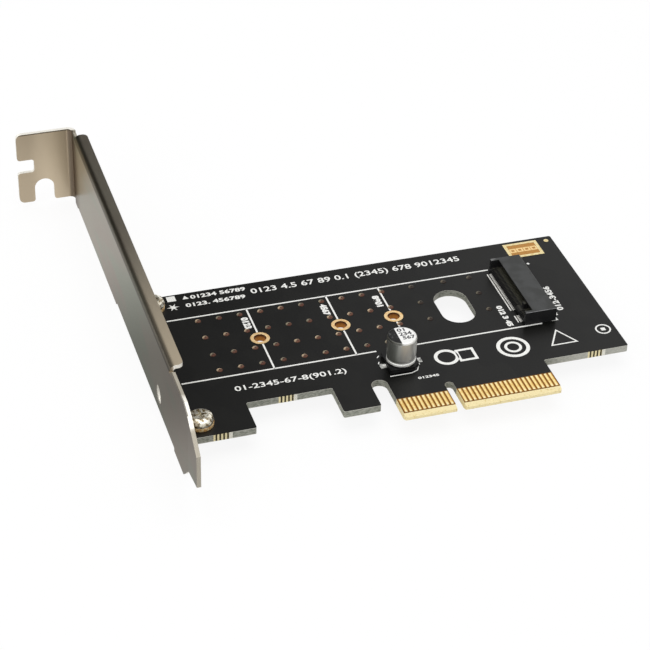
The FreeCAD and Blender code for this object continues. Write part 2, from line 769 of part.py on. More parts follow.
def contactRows(upper):
    """Name, lowest place and count of the contacts on each side of the key."""
    first = socketMiddle + s.firstContact - s.upperOffset * upper
    mainLow = first - s.contactPitch * (mainContacts - 1)
    keyed = keyedUpper if upper else keyedContacts
    keyedLow = mainLow - s.contactPitch * (keyed + 4)
    return [("Main", mainLow, mainContacts), ("Keyed", keyedLow, keyed)]


def makeSocketContacts():
    low = boardTop
    mouth = low + s.mouthLow
    thick = s.contactThick
    front, back = s.socketFront, s.socketFront + s.socketDeep
    lower = newBody("m2_contacts_lower")
    riser, crest, beamEnd = front + s.riserBack, front + s.crestBack, front + s.beamEnd
    root, peak, dip = mouth - s.beamRoot, mouth + s.beamCrest, mouth - s.beamDip
    for name, y, count in contactRows(0):
        profile = newSketch(lower, f"LowerContact{name}", "XZ_Plane", -y)
        addPolygon(profile, [
            (front - s.contactTail, low), (riser + thick, low), (riser + thick, root), (crest, peak),
            (beamEnd, dip), (beamEnd, dip + thick), (crest, peak + thick), (riser, root + thick),
            (riser, low + thick), (front - s.contactTail, low + thick)])
        repeat(lower, pad(lower, profile, s.contactWide, middle=True), count, s.contactPitch, "Y_Axis")
    upper = newBody("m2_contacts_upper")
    for name, y, count in contactRows(1):
        tail = newSketch(upper, f"UpperContact{name}", "XZ_Plane", -y)
        addRectangle(tail, back - s.rearRoot, low, back + s.rearTail, low + thick)
        repeat(upper, pad(upper, tail, s.contactWide, middle=True), count, s.contactPitch, "Y_Axis")


# ---- electrolytic capacitor -------------------------------------------------------

def makeCapacitor():
    landTop = boardTop + s.landThick
    baseTop = landTop + s.baseHigh
    can = newBody("capacitor_can")
    profile = newSketch(can, "CanProfile", "XZ_Plane")
    radius, top = s.canWide / 2, s.canTop + boardTop
    neck = baseTop + s.neckUp
    flat, wide, shoulder = s.neckFlat / 2, s.neckWide / 2, s.canShoulder
    addPolygon(profile, [
        (0, baseTop), (radius - s.canFoot, baseTop), (radius, baseTop + s.canFoot), (radius, neck - wide),
        (radius - s.canNeck, neck - flat), (radius - s.canNeck, neck + flat), (radius, neck + wide),
        (radius, top - s.canRound), (radius - shoulder, top - shoulder), (radius - s.canRound, top), (0, top)])
    revolve(can, profile)
    place(can, s.canAcross, s.canUp, 0)

    base = newBody("capacitor_base")
    half, corner = s.baseWide / 2, s.baseCorner
    outline = newSketch(base, "BaseOutline", "XY_Plane", landTop)
    addPolygon(outline, [(-half, -half), (half - corner, -half), (half, -half + corner),
                         (half, half - corner), (half - corner, half), (-half, half)])
    pad(base, outline, s.baseHigh)
    channel = newSketch(base, "LeadChannel", "XY_Plane", landTop)
    slot = s.leadWide / 2 + s.leadGap
    root = s.leadRoot - s.leadGap
    for side in (-1, 1):
        past = half + s.cutPast
        start, end = (root, past) if side > 0 else (-past, -root)
        addRectangle(channel, start, -slot, end, slot)
    pocket(base, channel, s.leadThick + s.leadCover, reverse=True)
    holes = newSketch(base, "LeadHoles", "XY_Plane", landTop)
    for side in (-1, 1):
        wide = s.leadHole
        start, end = (root, root + wide) if side > 0 else (-root - wide, -root)
        addRectangle(holes, start, -slot, end, slot)
    pocket(base, holes, s.baseHigh + s.cutPast, reverse=True)
    place(base, s.canAcross, s.canUp, 0)

    for name, side in (("negative", -1), ("positive", 1)):
        lead = newBody(f"capacitor_lead_{name}")
        bend = newSketch(lead, f"Lead{name}", "XZ_Plane")
        stem = s.leadRoot + s.leadStem
        addPolygon(bend, [
            (s.leadRoot * side, landTop), (s.leadReach * side, landTop),
            (s.leadReach * side, landTop + s.leadThick), (stem * side, landTop + s.leadThick),
            (stem * side, baseTop), (s.leadRoot * side, baseTop)])
        pad(lead, bend, s.leadWide, middle=True)
        place(lead, s.canAcross, s.canUp, 0)

    lands = newBody("capacitor_lands")
    for name, side in (("Left", -1), ("Right", 1)):
        land = newSketch(lands, f"Land{name}", "XY_Plane", boardTop)
        inner, outer = s.landReach - s.landLong, s.landReach
        start, end = (inner, outer) if side > 0 else (-outer, -inner)
        addRectangle(land, start, -s.landWide / 2, end, s.landWide / 2)
        pad(lands, land, s.landThick)
    place(lands, s.canAcross, s.canUp, 0)


makeBoard()
makeEdgeContacts("edge_contacts_component_side", 1)
makeEdgeContacts("edge_contacts_solder_side", -1)
for length, x in moduleHoles.items():
    makeEyelet(f"module_eyelet_{length}", x)
makeGoldMarks()
makeBracket()
makeScrews()
makeWashers()
makeSocket()
makeSocketContacts()
makeCapacitor()

document.recompute()
failed = [item.Name for item in document.Objects if "Invalid" in item.State or "Error" in item.State]
if failed:
    raise RuntimeError("failed objects: " + ", ".join(failed))
os.makedirs("parts", exist_ok=True)
for node in nodes:
    if node.Shape.isNull() or not node.Shape.isValid():
        raise RuntimeError("bad shape: " + node.Label)
for node in nodes:
    node.Shape.exportStep(f"parts/{node.Label}.step")
    print(node.Label, "solids", len(node.Shape.Solids), "volume", round(node.Shape.Volume, 3))
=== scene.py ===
import math

import bmesh
import bpy
from mathutils import Matrix, Vector


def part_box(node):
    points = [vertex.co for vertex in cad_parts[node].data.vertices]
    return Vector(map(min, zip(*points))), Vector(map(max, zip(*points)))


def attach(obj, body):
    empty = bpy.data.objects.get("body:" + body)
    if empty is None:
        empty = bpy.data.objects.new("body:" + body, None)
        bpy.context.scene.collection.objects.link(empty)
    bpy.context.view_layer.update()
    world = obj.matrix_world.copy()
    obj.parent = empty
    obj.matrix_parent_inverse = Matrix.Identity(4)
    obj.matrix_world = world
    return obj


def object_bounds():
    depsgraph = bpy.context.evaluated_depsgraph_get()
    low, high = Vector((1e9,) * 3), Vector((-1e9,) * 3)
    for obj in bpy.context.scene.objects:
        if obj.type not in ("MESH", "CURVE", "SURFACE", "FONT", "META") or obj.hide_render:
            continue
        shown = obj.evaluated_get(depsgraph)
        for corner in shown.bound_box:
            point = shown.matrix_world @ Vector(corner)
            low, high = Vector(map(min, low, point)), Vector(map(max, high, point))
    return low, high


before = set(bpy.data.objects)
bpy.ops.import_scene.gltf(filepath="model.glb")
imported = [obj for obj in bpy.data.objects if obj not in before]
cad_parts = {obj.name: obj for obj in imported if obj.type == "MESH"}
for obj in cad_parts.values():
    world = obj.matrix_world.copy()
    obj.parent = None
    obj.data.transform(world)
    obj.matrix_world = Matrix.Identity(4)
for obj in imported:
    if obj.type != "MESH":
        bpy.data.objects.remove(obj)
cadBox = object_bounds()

# adapter card with slot bracket: printing, plated holes, solder and finishes over the packed
# frame, with lengths in millimetres until they reach a mesh
mm = 0.001
cardBody = "root"
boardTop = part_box("pcb")[1].z / mm
socketLow, socketHigh = (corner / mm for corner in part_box("m2_socket_housing"))
canLow, canHigh = (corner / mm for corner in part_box("capacitor_can"))
labelLow, labelHigh = (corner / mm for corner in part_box("gold_label_frame"))
moduleMiddle = (socketLow.y + socketHigh.y) / 2
canMiddle = ((canLow + canHigh) / 2).xy
print("frame loaded:", len(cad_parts), "nodes")


# one output of a node tree, usable in sums
class Wire:
    def __init__(self, owner, socket):
        self.owner = owner
        self.socket = socket

    def __add__(self, other):
        return self.owner.maths("ADD", self, other)

    def __radd__(self, other):
        return self.owner.maths("ADD", other, self)

    def __sub__(self, other):
        return self.owner.maths("SUBTRACT", self, other)

    def __rsub__(self, other):
        return self.owner.maths("SUBTRACT", other, self)

    def __mul__(self, other):
        return self.owner.maths("MULTIPLY", self, other)

    def __rmul__(self, other):
        return self.owner.maths("MULTIPLY", other, self)

    def __truediv__(self, other):
        return self.owner.maths("DIVIDE", self, other)

    def __rtruediv__(self, other):
        return self.owner.maths("DIVIDE", other, self)

    def __gt__(self, other):
        return self.owner.maths("GREATER_THAN", self, other)

    def __lt__(self, other):
        return self.owner.maths("LESS_THAN", self, other)

    def __abs__(self):
        return self.owner.maths("ABSOLUTE", self)


# any node tree under construction
class Tree:
    def __init__(self, tree):
        self.tree = tree

    def node(self, kind, settings=None, inputs=None):
        made = self.tree.nodes.new(kind)
        for key, value in (settings or {}).items():
            setattr(made, key, value)
        for key, value in (inputs or {}).items():
            for item in value if isinstance(value, list) else [value]:
                self.join(item, made.inputs[key])
        return made

    def join(self, value, socket):
        if isinstance(value, Wire):
            self.tree.links.new(value.socket, socket)
        elif isinstance(value, tuple) and socket.type == "RGBA":
            socket.default_value = (*value, 1)
        else:
            socket.default_value = value

    def out(self, node, name=0):
        return Wire(self, node.outputs[name])

    def maths(self, operation, *values):
        made = self.node("ShaderNodeMath", {"operation": operation}, dict(enumerate(values)))
        return self.out(made)

    def most(self, *values):
        kept = values[0]
        for value in values[1:]:
            kept = self.maths("MAXIMUM", kept, value)
        return kept

    # 1 for a ray that sees the background itself, 0 for one that lights the object
    def seenRay(self):
        rays = self.node("ShaderNodeLightPath")
        kinds = ("Camera", "Glossy", "Transmission")
        return self.most(*(self.out(rays, f"Is {kind} Ray") for kind in kinds))


# a material under construction, with its coordinates in millimetres
class Paint(Tree):
    def __init__(self, name):
        self.material = bpy.data.materials.new(name)
        self.material.use_nodes = True
        super().__init__(self.material.node_tree)
        self.shader = self.tree.nodes["Principled BSDF"]
        metres = self.out(self.node("ShaderNodeTexCoord"), "Object")
        self.place = self.out(self.node("ShaderNodeVectorMath", {"operation": "SCALE"}, {
            "Vector": metres, "Scale": 1 / mm}))
        self.x, self.y, self.z = self.split(self.place)
        self.facing = self.split(self.out(self.node("ShaderNodeNewGeometry"), "True Normal"))

    def split(self, wire):
        parts = self.node("ShaderNodeSeparateXYZ", inputs={"Vector": wire})
        return [self.out(parts, axis) for axis in "XYZ"]

    # a colour mix has its factor, two colours and result in sockets 0, 6, 7 and 2
    def mix(self, first, second, factor):
        kept = self.node("ShaderNodeMix", {"data_type": "RGBA"}, {0: factor, 6: first, 7: second})
        return self.out(kept, 2)

    # soft step from 0 at low to 1 at high, falling where high is the smaller
    def ease(self, value, low, high):
        ramp = self.node("ShaderNodeMapRange", {"interpolation_type": "SMOOTHSTEP"},
                         {"Value": value, "From Min": low, "From Max": high})
        return self.out(ramp, "Result")

    def between(self, value, low, high):
        return (value > low) * (value < high)

    def stretched(self, stretch):
        made = self.node("ShaderNodeVectorMath", {"operation": "MULTIPLY"},
                         {0: self.place, 1: stretch})
        return self.out(made)

    def noise(self, scale, detail=2.0, stretch=(1, 1, 1)):
        return self.out(self.node("ShaderNodeTexNoise", inputs={
            "Vector": self.stretched(stretch), "Scale": scale, "Detail": detail}))

    def cells(self, scale, stretch=(1, 1, 1)):
        return self.out(self.node("ShaderNodeTexVoronoi", {"feature": "F1"}, {
            "Vector": self.stretched(stretch), "Scale": scale}), "Distance")

    def bump(self, height, strength, depth):
        made = self.node("ShaderNodeBump", inputs={
            "Height": height, "Strength": strength, "Distance": depth * mm})
        self.join(self.out(made, "Normal"), self.shader.inputs["Normal"])

    def finish(self, colour, roughness, metallic, specular=0.5):
        self.join(colour, self.shader.inputs["Base Color"])
        self.join(roughness, self.shader.inputs["Roughness"])
        self.join(metallic, self.shader.inputs["Metallic"])
        self.shader.inputs["Specular IOR Level"].default_value = specular
        return self.material


screenCurve = 2.2


# a colour given as it looks on a screen, 0 to 255
def tone(red, green, blue):
    return tuple((part / 255) ** screenCurve for part in (red, green, blue))


# in every look, a pattern is its scale, detail and stretch, and an edge is where a blend
# starts and ends
boardLook = {
    # mask over copper
    "mask": tone(14, 14, 13), "sheen": tone(25, 25, 23), "specular": 0.22,
    "pour": (0.09, 1.0), "pourEdge": (0.47, 0.53), "pourSheen": 0.3, "pourRaise": 0.6,
    "tracks": (0.55, (1, 0.35, 1)), "trackEdge": (0.30, 0.42), "trackRaise": 0.25,
    "mottle": (2.4, 4.0), "mottleSheen": 0.35, "mottleRaise": 0.12, "mottleRough": 0.08,
    "rough": 0.68, "maskGloss": 0.34, "bump": (0.3, 0.03), "facingShare": 0.5,
    # tongue that carries the edge contacts
    "tongue": (-12.5, 22.4), "bareHigh": 5.9, "bevelLine": 1.1,
    "resin": tone(132, 88, 28), "resinDark": tone(96, 60, 14), "resinCloud": (3.0, 3.0),
    "bevel": tone(238, 222, 172), "bevelSpeck": tone(210, 184, 116),
    "speck": (2.2, 5.0), "speckEdge": (0.56, 0.68), "speckShare": 0.7,
    # routed edges, with a painted highlight at the rims and on the end, and painted light towards
    # the far side
    "edge": tone(158, 159, 149), "edgeDark": tone(106, 109, 99), "edgeHighlight": tone(206, 204, 196),
    "fibre": (1.1, 5.0, (1.4, 1.4, 5.0)), "fibreEdge": (0.3, 0.62),
    "rimDepths": (0.2, 0.02), "rimHighlight": 0.75, "endFacing": (0.2, 0.9), "endHighlight": 0.8,
    "litSide": (20.0, 30.0), "sideLight": 0.4,
    # middle and edge line of each striped spot
    "spots": ((-49.15, 4.7), (-33.15, 13.1), (34.3, 10.3)), "spotWide": 4.0, "spotDeep": 0.3,
    "spotGold": tone(228, 216, 172), "spotDark": tone(50, 44, 26), "spotPale": tone(224, 222, 210),
    "stripePitch": 0.8, "stripeEdge": (0.45, 0.62), "stripeEnd": 0.9,
}


def makeBoardPaint():
    look = boardLook
    paint = Paint("solderMask")
    # flat faces: mask over copper, with the copper's edges just showing
    pour = paint.ease(paint.noise(*look["pour"]), *look["pourEdge"])
    tracks = paint.ease(paint.cells(*look["tracks"]), *look["trackEdge"])
    mottle = paint.noise(*look["mottle"])
    shine = pour * look["pourSheen"] + mottle * look["mottleSheen"]
    mask = paint.mix(look["mask"], look["sheen"], shine)
    # bare laminate between the contacts, and the bevel at the tip
    bare = paint.between(paint.x, *look["tongue"]) * (paint.y < look["bareHigh"])
    resin = paint.mix(look["resinDark"], look["resin"], paint.noise(*look["resinCloud"]))
    speck = paint.ease(paint.noise(*look["speck"]), *look["speckEdge"])
    bevel = paint.mix(look["bevel"], look["bevelSpeck"], speck * look["speckShare"])
    face = paint.mix(paint.mix(mask, resin, bare), bevel, bare * (paint.y < look["bevelLine"]))
    # routed edges: glass cloth in layers, with a painted highlight at the rims and on the end, and
    # painted light towards the far side
    fibre = paint.ease(paint.noise(*look["fibre"]), *look["fibreEdge"])
    cut = paint.mix(look["edgeDark"], look["edge"], fibre)
    rim = paint.ease(abs(paint.z), *(boardTop - depth for depth in look["rimDepths"]))
    end = paint.ease(paint.facing[0], *look["endFacing"])
    side = paint.ease(paint.x, *look["litSide"])
    # painted highlight: how much paler the rims, the end and the far side are painted
    pale = paint.most(rim * look["rimHighlight"], end * look["endHighlight"], side * look["sideLight"])
    cut = paint.mix(cut, look["edgeHighlight"], pale)
    # copper stripes, each set closed by one pale stripe
    for middle, line in look["spots"]:
        low, high = middle - look["spotWide"] / 2, middle + look["spotWide"] / 2
        zone = paint.between(paint.x, low, high) * (paint.facing[1] < -look["facingShare"])
        zone = zone * paint.between(paint.y, line - look["spotDeep"], line + look["spotDeep"])
        wave = paint.maths("FRACT", (paint.x - low) / look["stripePitch"])
        stripe = paint.ease(wave, *look["stripeEdge"])
        stripe = paint.mix(look["spotGold"], look["spotDark"], stripe)
        last = paint.x > high - look["stripePitch"] * look["stripeEnd"]
        cut = paint.mix(cut, paint.mix(stripe, look["spotPale"], last), zone)
    cut = paint.mix(cut, bevel, bare)
    flat = abs(paint.facing[2]) > look["facingShare"]
    rough = look["rough"] - flat * (1 - bare) * look["maskGloss"] + mottle * look["mottleRough"]
    relief = pour * look["pourRaise"] + tracks * look["trackRaise"] + mottle * look["mottleRaise"]
    paint.bump(relief, *look["bump"])
    return paint.finish(paint.mix(cut, face, flat), rough, 0.0, look["specular"])


goldLook = {
    # bright and deep shade of each plating
    "plate": (tone(255, 234, 164), tone(240, 202, 122)),
    "rim": (tone(252, 220, 166), tone(238, 190, 126)),
    "pale": (tone(246, 230, 178), tone(224, 198, 134)),
    "cloud": (1.6, 4.0), "cloudEdge": (0.25, 0.6),
    "scuff": (4.0, 3.0, (5.0, 0.5, 1.0)), "scuffRough": 0.15, "bump": (0.12, 0.01),
    "rough": 0.34, "metallic": 0.72,
    # edge contacts, one to a millimetre, with painted shade along their sides and a painted
    # highlight down their middles
    "side": tone(206, 148, 62), "fingerPhase": 0.46, "sideEdge": (0.14, 0.27), "sideShare": 0.85,
    "fingerHighlight": tone(255, 246, 200), "fingerMiddle": 3.5, "gleamEnds": (1.2, 2.1),
    "gleamSide": (0.26, 0.16), "gleamShare": 0.8,
    # walls of plated holes, with painted shade that is darkest near the top
    "wellHigh": tone(66, 36, 8), "wellLow": tone(164, 104, 40), "wellFloor": -0.2, "wallUp": 0.5,
}


def makeGoldPaint(name, plating, fingers=False):
    look = goldLook
    paint = Paint(name)
    bright, deep = look[plating]
    scuff = paint.noise(*look["scuff"])
    paint.bump(scuff, *look["bump"])
    colour = paint.mix(deep, bright, paint.ease(paint.noise(*look["cloud"]), *look["cloudEdge"]))
    if fingers:
        # painted shade along each contact's sides, and a painted highlight down its middle that is
        # brightest towards its ends
        side = abs(paint.maths("FRACT", paint.x) - look["fingerPhase"])
        edge = paint.ease(side, *look["sideEdge"]) * look["sideShare"]
        colour = paint.mix(colour, look["side"], edge)
        end = paint.ease(abs(paint.y - look["fingerMiddle"]), *look["gleamEnds"])
        fingerHighlight = end * paint.ease(side, *look["gleamSide"]) * look["gleamShare"]
        colour = paint.mix(colour, look["fingerHighlight"], fingerHighlight)
    # painted shade on the wall inside a plated hole: darkest near the top, lighter deeper down
    wall = abs(paint.facing[2]) < look["wallUp"]
    depth = paint.ease(paint.z, look["wellFloor"], boardTop)
    well = paint.mix(look["wellLow"], look["wellHigh"], depth)
    colour = paint.mix(colour, well, wall * (paint.y > boardLook["bareHigh"]))
    return paint.finish(colour, look["rough"] + scuff * look["scuffRough"], look["metallic"])


steelLook = {
    # faces, with faint rose and green clouds
    "base": tone(174, 167, 151), "rough": 0.3, "grain": (1.4, 4.0), "grainRough": 0.06,
    "grainRaise": 0.6, "cloudRaise": 0.4, "bump": (0.08, 0.012),
    "rose": tone(168, 153, 140), "roseCloud": (0.045, 1.0, (1, 0.6, 1)),
    "roseEdge": (0.45, 0.7), "roseShare": 0.55,
    "cool": tone(160, 167, 148), "coolCloud": (0.055, 1.0, (1, 0.6, 2.2)),
    "coolEdge": (0.45, 0.6), "coolShare": 0.7, "stripInner": -57.6,
    # flange, with painted light across its middle
    "flange": tone(230, 212, 184), "flangeDeep": tone(206, 189, 163), "flangeY": 105.6,
    "litX": -64.5, "litCloud": (0.3, 1.0, (1, 1, 0.4)), "litEdge": (5.6, 1.4),
    "flangeFacing": (0.75, 0.99),
    # bend between flange and strip, with painted shade on it
    "bend": tone(104, 90, 74), "bendEdge": (98.0, 104.6), "bendShare": 0.85,
    "turn": tone(122, 109, 94), "turnY": 104.0, "turnFacing": (0.05, 0.97),
    "turnEdge": (0.0, 0.4), "turnShare": 0.85, "turnRough": 0.3, "turnDull": 0.3,
    # folded lip along the strip, with painted light on its top near the tip and painted shade along
    # its fold
    "lip": (10.45, 103.1), "lipRoot": 13.6, "fold": tone(88, 82, 70), "foldEdge": (0.15, 0.5),
    "foldUp": 0.05, "foldShare": 0.8, "lipNear": tone(190, 176, 152), "lipEdge": (8.0, 66.0),
    "lipFacing": (0.6, 0.95), "lipDull": 0.5,
    # sheared edges, with a painted highlight on them, and painted shade in the dark lines beside
    # them
    "edge": tone(250, 247, 238), "edgeDull": tone(170, 164, 150), "edgeFacing": 0.6,
    "flangeEdge": 0.9, "edgeShare": 0.9, "edgeRough": 0.25, "edgeMatt": 0.6,
    "line": tone(62, 54, 44), "lineZ": 14.9, "lineShare": 0.7,
    "lineX": -58.26, "lineTip": -4, "edgeLine": 0.75,
    # painted highlight: the bright stretch of the strip's edge near the tip
    "gleamY": -3.0, "gleamEdge": (4.2, 5.8), "gleamCloud": 0.5, "tipLow": 9.0, "tipRoot": -6.0,
    # how far a cloud moves the edge of the painted light on the flange and of the bright stretch
    "cloudShift": 2,
}


def makeSteelPaint():
    look = steelLook
    paint = Paint("bracketSteel")
    cloud = paint.noise(*look["roseCloud"])
    grain = paint.noise(*look["grain"])
    across, along, up = (abs(part) for part in paint.facing)
    onStrip = paint.x < look["stripInner"]
    atFlange = paint.y > look["flangeY"]
    onLip = paint.between(paint.y, *look["lip"]) * (paint.z > look["lipRoot"])
    rose = paint.ease(cloud, *look["roseEdge"]) * look["roseShare"]
    base = paint.mix(look["base"], look["rose"], rose)
    cool = paint.ease(paint.noise(*look["coolCloud"]), *look["coolEdge"]) * onStrip
    base = paint.mix(base, look["cool"], cool * look["coolShare"])
    # warm flange with painted light across its middle, and painted shade on the bend that fades out
    # along the strip
    lit = abs(paint.x - look["litX"]) + paint.noise(*look["litCloud"]) * look["cloudShift"]
    flange = paint.mix(look["flangeDeep"], look["flange"], paint.ease(lit, *look["litEdge"]))
    bend = paint.ease(paint.y, *look["bendEdge"]) * (1 - onLip)
    base = paint.mix(base, look["bend"], bend * look["bendShare"])
    base = paint.mix(base, flange, atFlange * paint.ease(along, *look["flangeFacing"]))
    # painted shade on the bend's curved faces, by how far each turns across
    turn = (paint.y > look["turnY"]) * paint.between(across, *look["turnFacing"])
    turned = turn * paint.ease(across, *look["turnEdge"]) * look["turnShare"]
    base = paint.mix(base, look["turn"], turned)
    # lip: painted light on its top near the tip, where it is also less metallic, and painted shade
    # along its fold
    lipPaintedLight = onLip * (1 - paint.ease(paint.y, *look["lipEdge"])) * paint.ease(up, *look["lipFacing"])
    base = paint.mix(base, look["lipNear"], lipPaintedLight)
    fold = onLip * paint.ease(0 - paint.facing[0], *look["foldEdge"]) * (up > look["foldUp"])
    base = paint.mix(base, look["fold"], fold * look["foldShare"])
    # painted shade: a dark line along the flange's top edge
    line = atFlange * (along > look["edgeFacing"]) * (paint.z > look["lineZ"])
    base = paint.mix(base, look["line"], line * look["lineShare"])
    # sheared edges are rougher and less metallic than the faces, and painted paler still as a
    # painted highlight, duller away from the bright stretch near the tip
    stripCut = onStrip * (1 - atFlange) * (1 - onLip) * (across < look["edgeFacing"])
    lipCut = onLip * (paint.x > look["stripInner"]) * (up < look["edgeFacing"])
    flangeCut = atFlange * (along < look["edgeFacing"]) * (across + up > look["flangeEdge"])
    cut = paint.most(stripCut, lipCut, flangeCut)
    outside = paint.most(paint.z > look["tipLow"], paint.y < look["tipRoot"])
    away = abs(paint.y - look["gleamY"]) + paint.noise(look["gleamCloud"]) * look["cloudShift"]
    dull = paint.ease(away, *look["gleamEdge"]) * outside * stripCut
    edge = paint.mix(look["edge"], look["edgeDull"], dull)
    # painted shade: a dark line where the strip's edge meets its outer face
    line = stripCut * (paint.x < look["lineX"]) * (paint.y > look["lineTip"])
    edge = paint.mix(edge, look["line"], line * look["edgeLine"])
    colour = paint.mix(base, edge, cut * look["edgeShare"])
    paint.bump(grain * look["grainRaise"] + cloud * look["cloudRaise"], *look["bump"])
    rough = look["rough"] + turn * look["turnRough"] + grain * look["grainRough"]
    metallic = 1 - cut * look["edgeMatt"] - lipPaintedLight * look["lipDull"] - turn * look["turnDull"]
    return paint.finish(colour, rough + cut * look["edgeRough"], metallic)


# bright and dull shade, roughness, scale of the clouding, and share of metal
metalLooks = {
    "screwNickel": (tone(250, 246, 230), tone(112, 92, 54), 0.16, 1.7, 0.7),
    "washerYellow": (tone(255, 228, 174), tone(228, 170, 98), 0.24, 2.5, 0.3),
    "solderTin": (tone(254, 254, 250), tone(206, 204, 198), 0.4, 2.8, 0.05),
    "landTin": (tone(214, 214, 210), tone(66, 66, 62), 0.26, 1.6, 0.8),
}
metalCloud = {"detail": 4.0, "edge": (0.38, 0.66), "rough": 0.16, "bump": (0.3, 0.012)}


def makeMetalPaint(name):
    bright, dull, rough, scale, metallic = metalLooks[name]
    paint = Paint(name)
    cloud = paint.noise(scale, metalCloud["detail"])
    paint.bump(cloud, *metalCloud["bump"])
    colour = paint.mix(bright, dull, paint.ease(cloud, *metalCloud["edge"]))
    return paint.finish(colour, rough + cloud * metalCloud["rough"], metallic)


# shade, speckle, roughness, scale of the speckle, and specular level
plainLooks = {
    "silkInk": (tone(240, 240, 236), tone(192, 192, 188), 0.55, 3.4, 0.5),
    "figureGrey": (tone(66, 66, 68), tone(112, 112, 112), 0.55, 3.4, 0.5),
    "labelGround": (tone(176, 122, 46), tone(142, 92, 30), 0.45, 3.4, 0.5),
    "labelBars": (tone(238, 202, 136), tone(214, 170, 98), 0.4, 3.4, 0.5),
    "basePlastic": (tone(12, 12, 13), tone(24, 24, 25), 0.42, 7.0, 0.25),
}
speckle = {"detail": 4.0, "edge": (0.5, 0.72), "share": 0.7, "rough": 0.15, "bump": (0.3, 0.01)}


def makePlainPaint(name):
    colour, other, rough, scale, specular = plainLooks[name]
    paint = Paint(name)
    specks = paint.noise(scale, speckle["detail"])
    paint.bump(specks, *speckle["bump"])
    shade = paint.mix(colour, other, paint.ease(specks, *speckle["edge"]) * speckle["share"])
    return paint.finish(shade, rough + specks * speckle["rough"], 0.0, specular)


socketLook = {
    # painted light: faces turned up take the jaw and cover shades, lighter than the body's sides
    "body": tone(26, 26, 27), "jaw": tone(52, 51, 45), "roofUp": 0.6, "roofDeep": 0.3,
    "cover": tone(53, 54, 53), "coverPale": tone(64, 65, 65), "coverEdge": (0.4, 0.65),
    # painted highlight along the cover's near rim and at one corner
    "rim": tone(132, 132, 134), "rimWide": 0.16, "rimEdge": (0.3, 0.5),
    "corner": tone(116, 116, 116), "cornerReach": (1.9, 0.7), "cornerShare": 0.8,
    # shaded lanes along the open slot
    "lanes": ((0.0, 0.4), (0.8, 1.25), (2.7, 3.6)), "laneShade": 0.8,
    "grain": (9.0, 3.0), "grainRaise": 0.7, "grainRough": 0.12,
    "cloud": (0.3, 2.0), "cloudRaise": 0.5, "cloudRough": 0.1,
    "bump": (0.25, 0.012), "rough": 0.44, "specular": 0.3,
}


# 1 in the shaded lanes along the socket's open slot
def slotShade(paint):
    lanes = [paint.between(paint.x, socketLow.x + low, socketLow.x + high)
             for low, high in socketLook["lanes"]]
    return paint.most(*lanes) * socketLook["laneShade"]


def makeSocketPaint():
    look = socketLook
    paint = Paint("socketPlastic")
    grain = paint.noise(*look["grain"])
    cloud = paint.noise(*look["cloud"])
    roof = paint.facing[2] > look["roofUp"]
    cover = roof * (paint.z > socketHigh.z - look["roofDeep"])
    shade = paint.mix(look["cover"], look["coverPale"], paint.ease(cloud, *look["coverEdge"]))
    # painted light: faces turned up are lighter than the sides, except in the painted shade of the
    # lanes
    colour = paint.mix(look["body"], look["jaw"], roof * (1 - slotShade(paint)))
    colour = paint.mix(colour, shade, cover)
    # painted highlight on the cover: along its near rim and at one corner
    wearAndHighlight = cover * (paint.y < socketLow.y + look["rimWide"])
    colour = paint.mix(colour, look["rim"], wearAndHighlight * paint.ease(cloud, *look["rimEdge"]))
    far = socketHigh.y - socketLow.x
    corner = paint.ease(paint.y - paint.x, *(far - reach for reach in look["cornerReach"]))
    colour = paint.mix(colour, look["corner"], cover * corner * look["cornerShare"])
    paint.bump(grain * look["grainRaise"] + cloud * look["cloudRaise"], *look["bump"])
    rough = look["rough"] + grain * look["grainRough"] + cloud * look["cloudRough"]
    return paint.finish(colour, rough, 0.0, look["specular"])


contactLook = {
    "tail": tone(226, 224, 218), "shade": tone(92, 90, 82), "shadeEdge": (0.48, 0.7),
    "shadeShare": 0.6, "cloud": (2.2, 3.0), "bump": (0.2, 0.01),
    "rough": 0.3, "cloudRough": 0.15, "metallic": 0.45,
    # painted shade: a dark band on the tails between the two lines of solder, and darker tails
    # inside the socket
    "tailShade": tone(30, 29, 26), "gapX": -0.72, "gapEdge": (0.2, 0.08),
    "inside": tone(74, 73, 62), "insideEdge": (-0.1, 0.15), "insideEnd": 1,
}


def makeContactPaint():
    look = contactLook
    paint = Paint("contactTin")
    cloud = paint.noise(*look["cloud"])
    shade = paint.ease(cloud, *look["shadeEdge"]) * look["shadeShare"]
    colour = paint.mix(look["tail"], look["shade"], shade)
    # painted shade: a dark band on the tails between the two lines of solder
    tailShade = paint.ease(abs(paint.x - socketLow.x - look["gapX"]), *look["gapEdge"])
    colour = paint.mix(colour, look["tailShade"], tailShade)
    # painted shade inside the socket, darker still in the shaded lanes
    inside = paint.ease(paint.x, *(socketLow.x + edge for edge in look["insideEdge"]))
    inside = inside * (paint.x < socketHigh.x - look["insideEnd"])
    colour = paint.mix(colour, look["inside"], inside)
    colour = paint.mix(colour, socketLook["body"], inside * slotShade(paint))
    paint.bump(cloud, *look["bump"])
    return paint.finish(colour, look["rough"] + cloud * look["cloudRough"], look["metallic"])


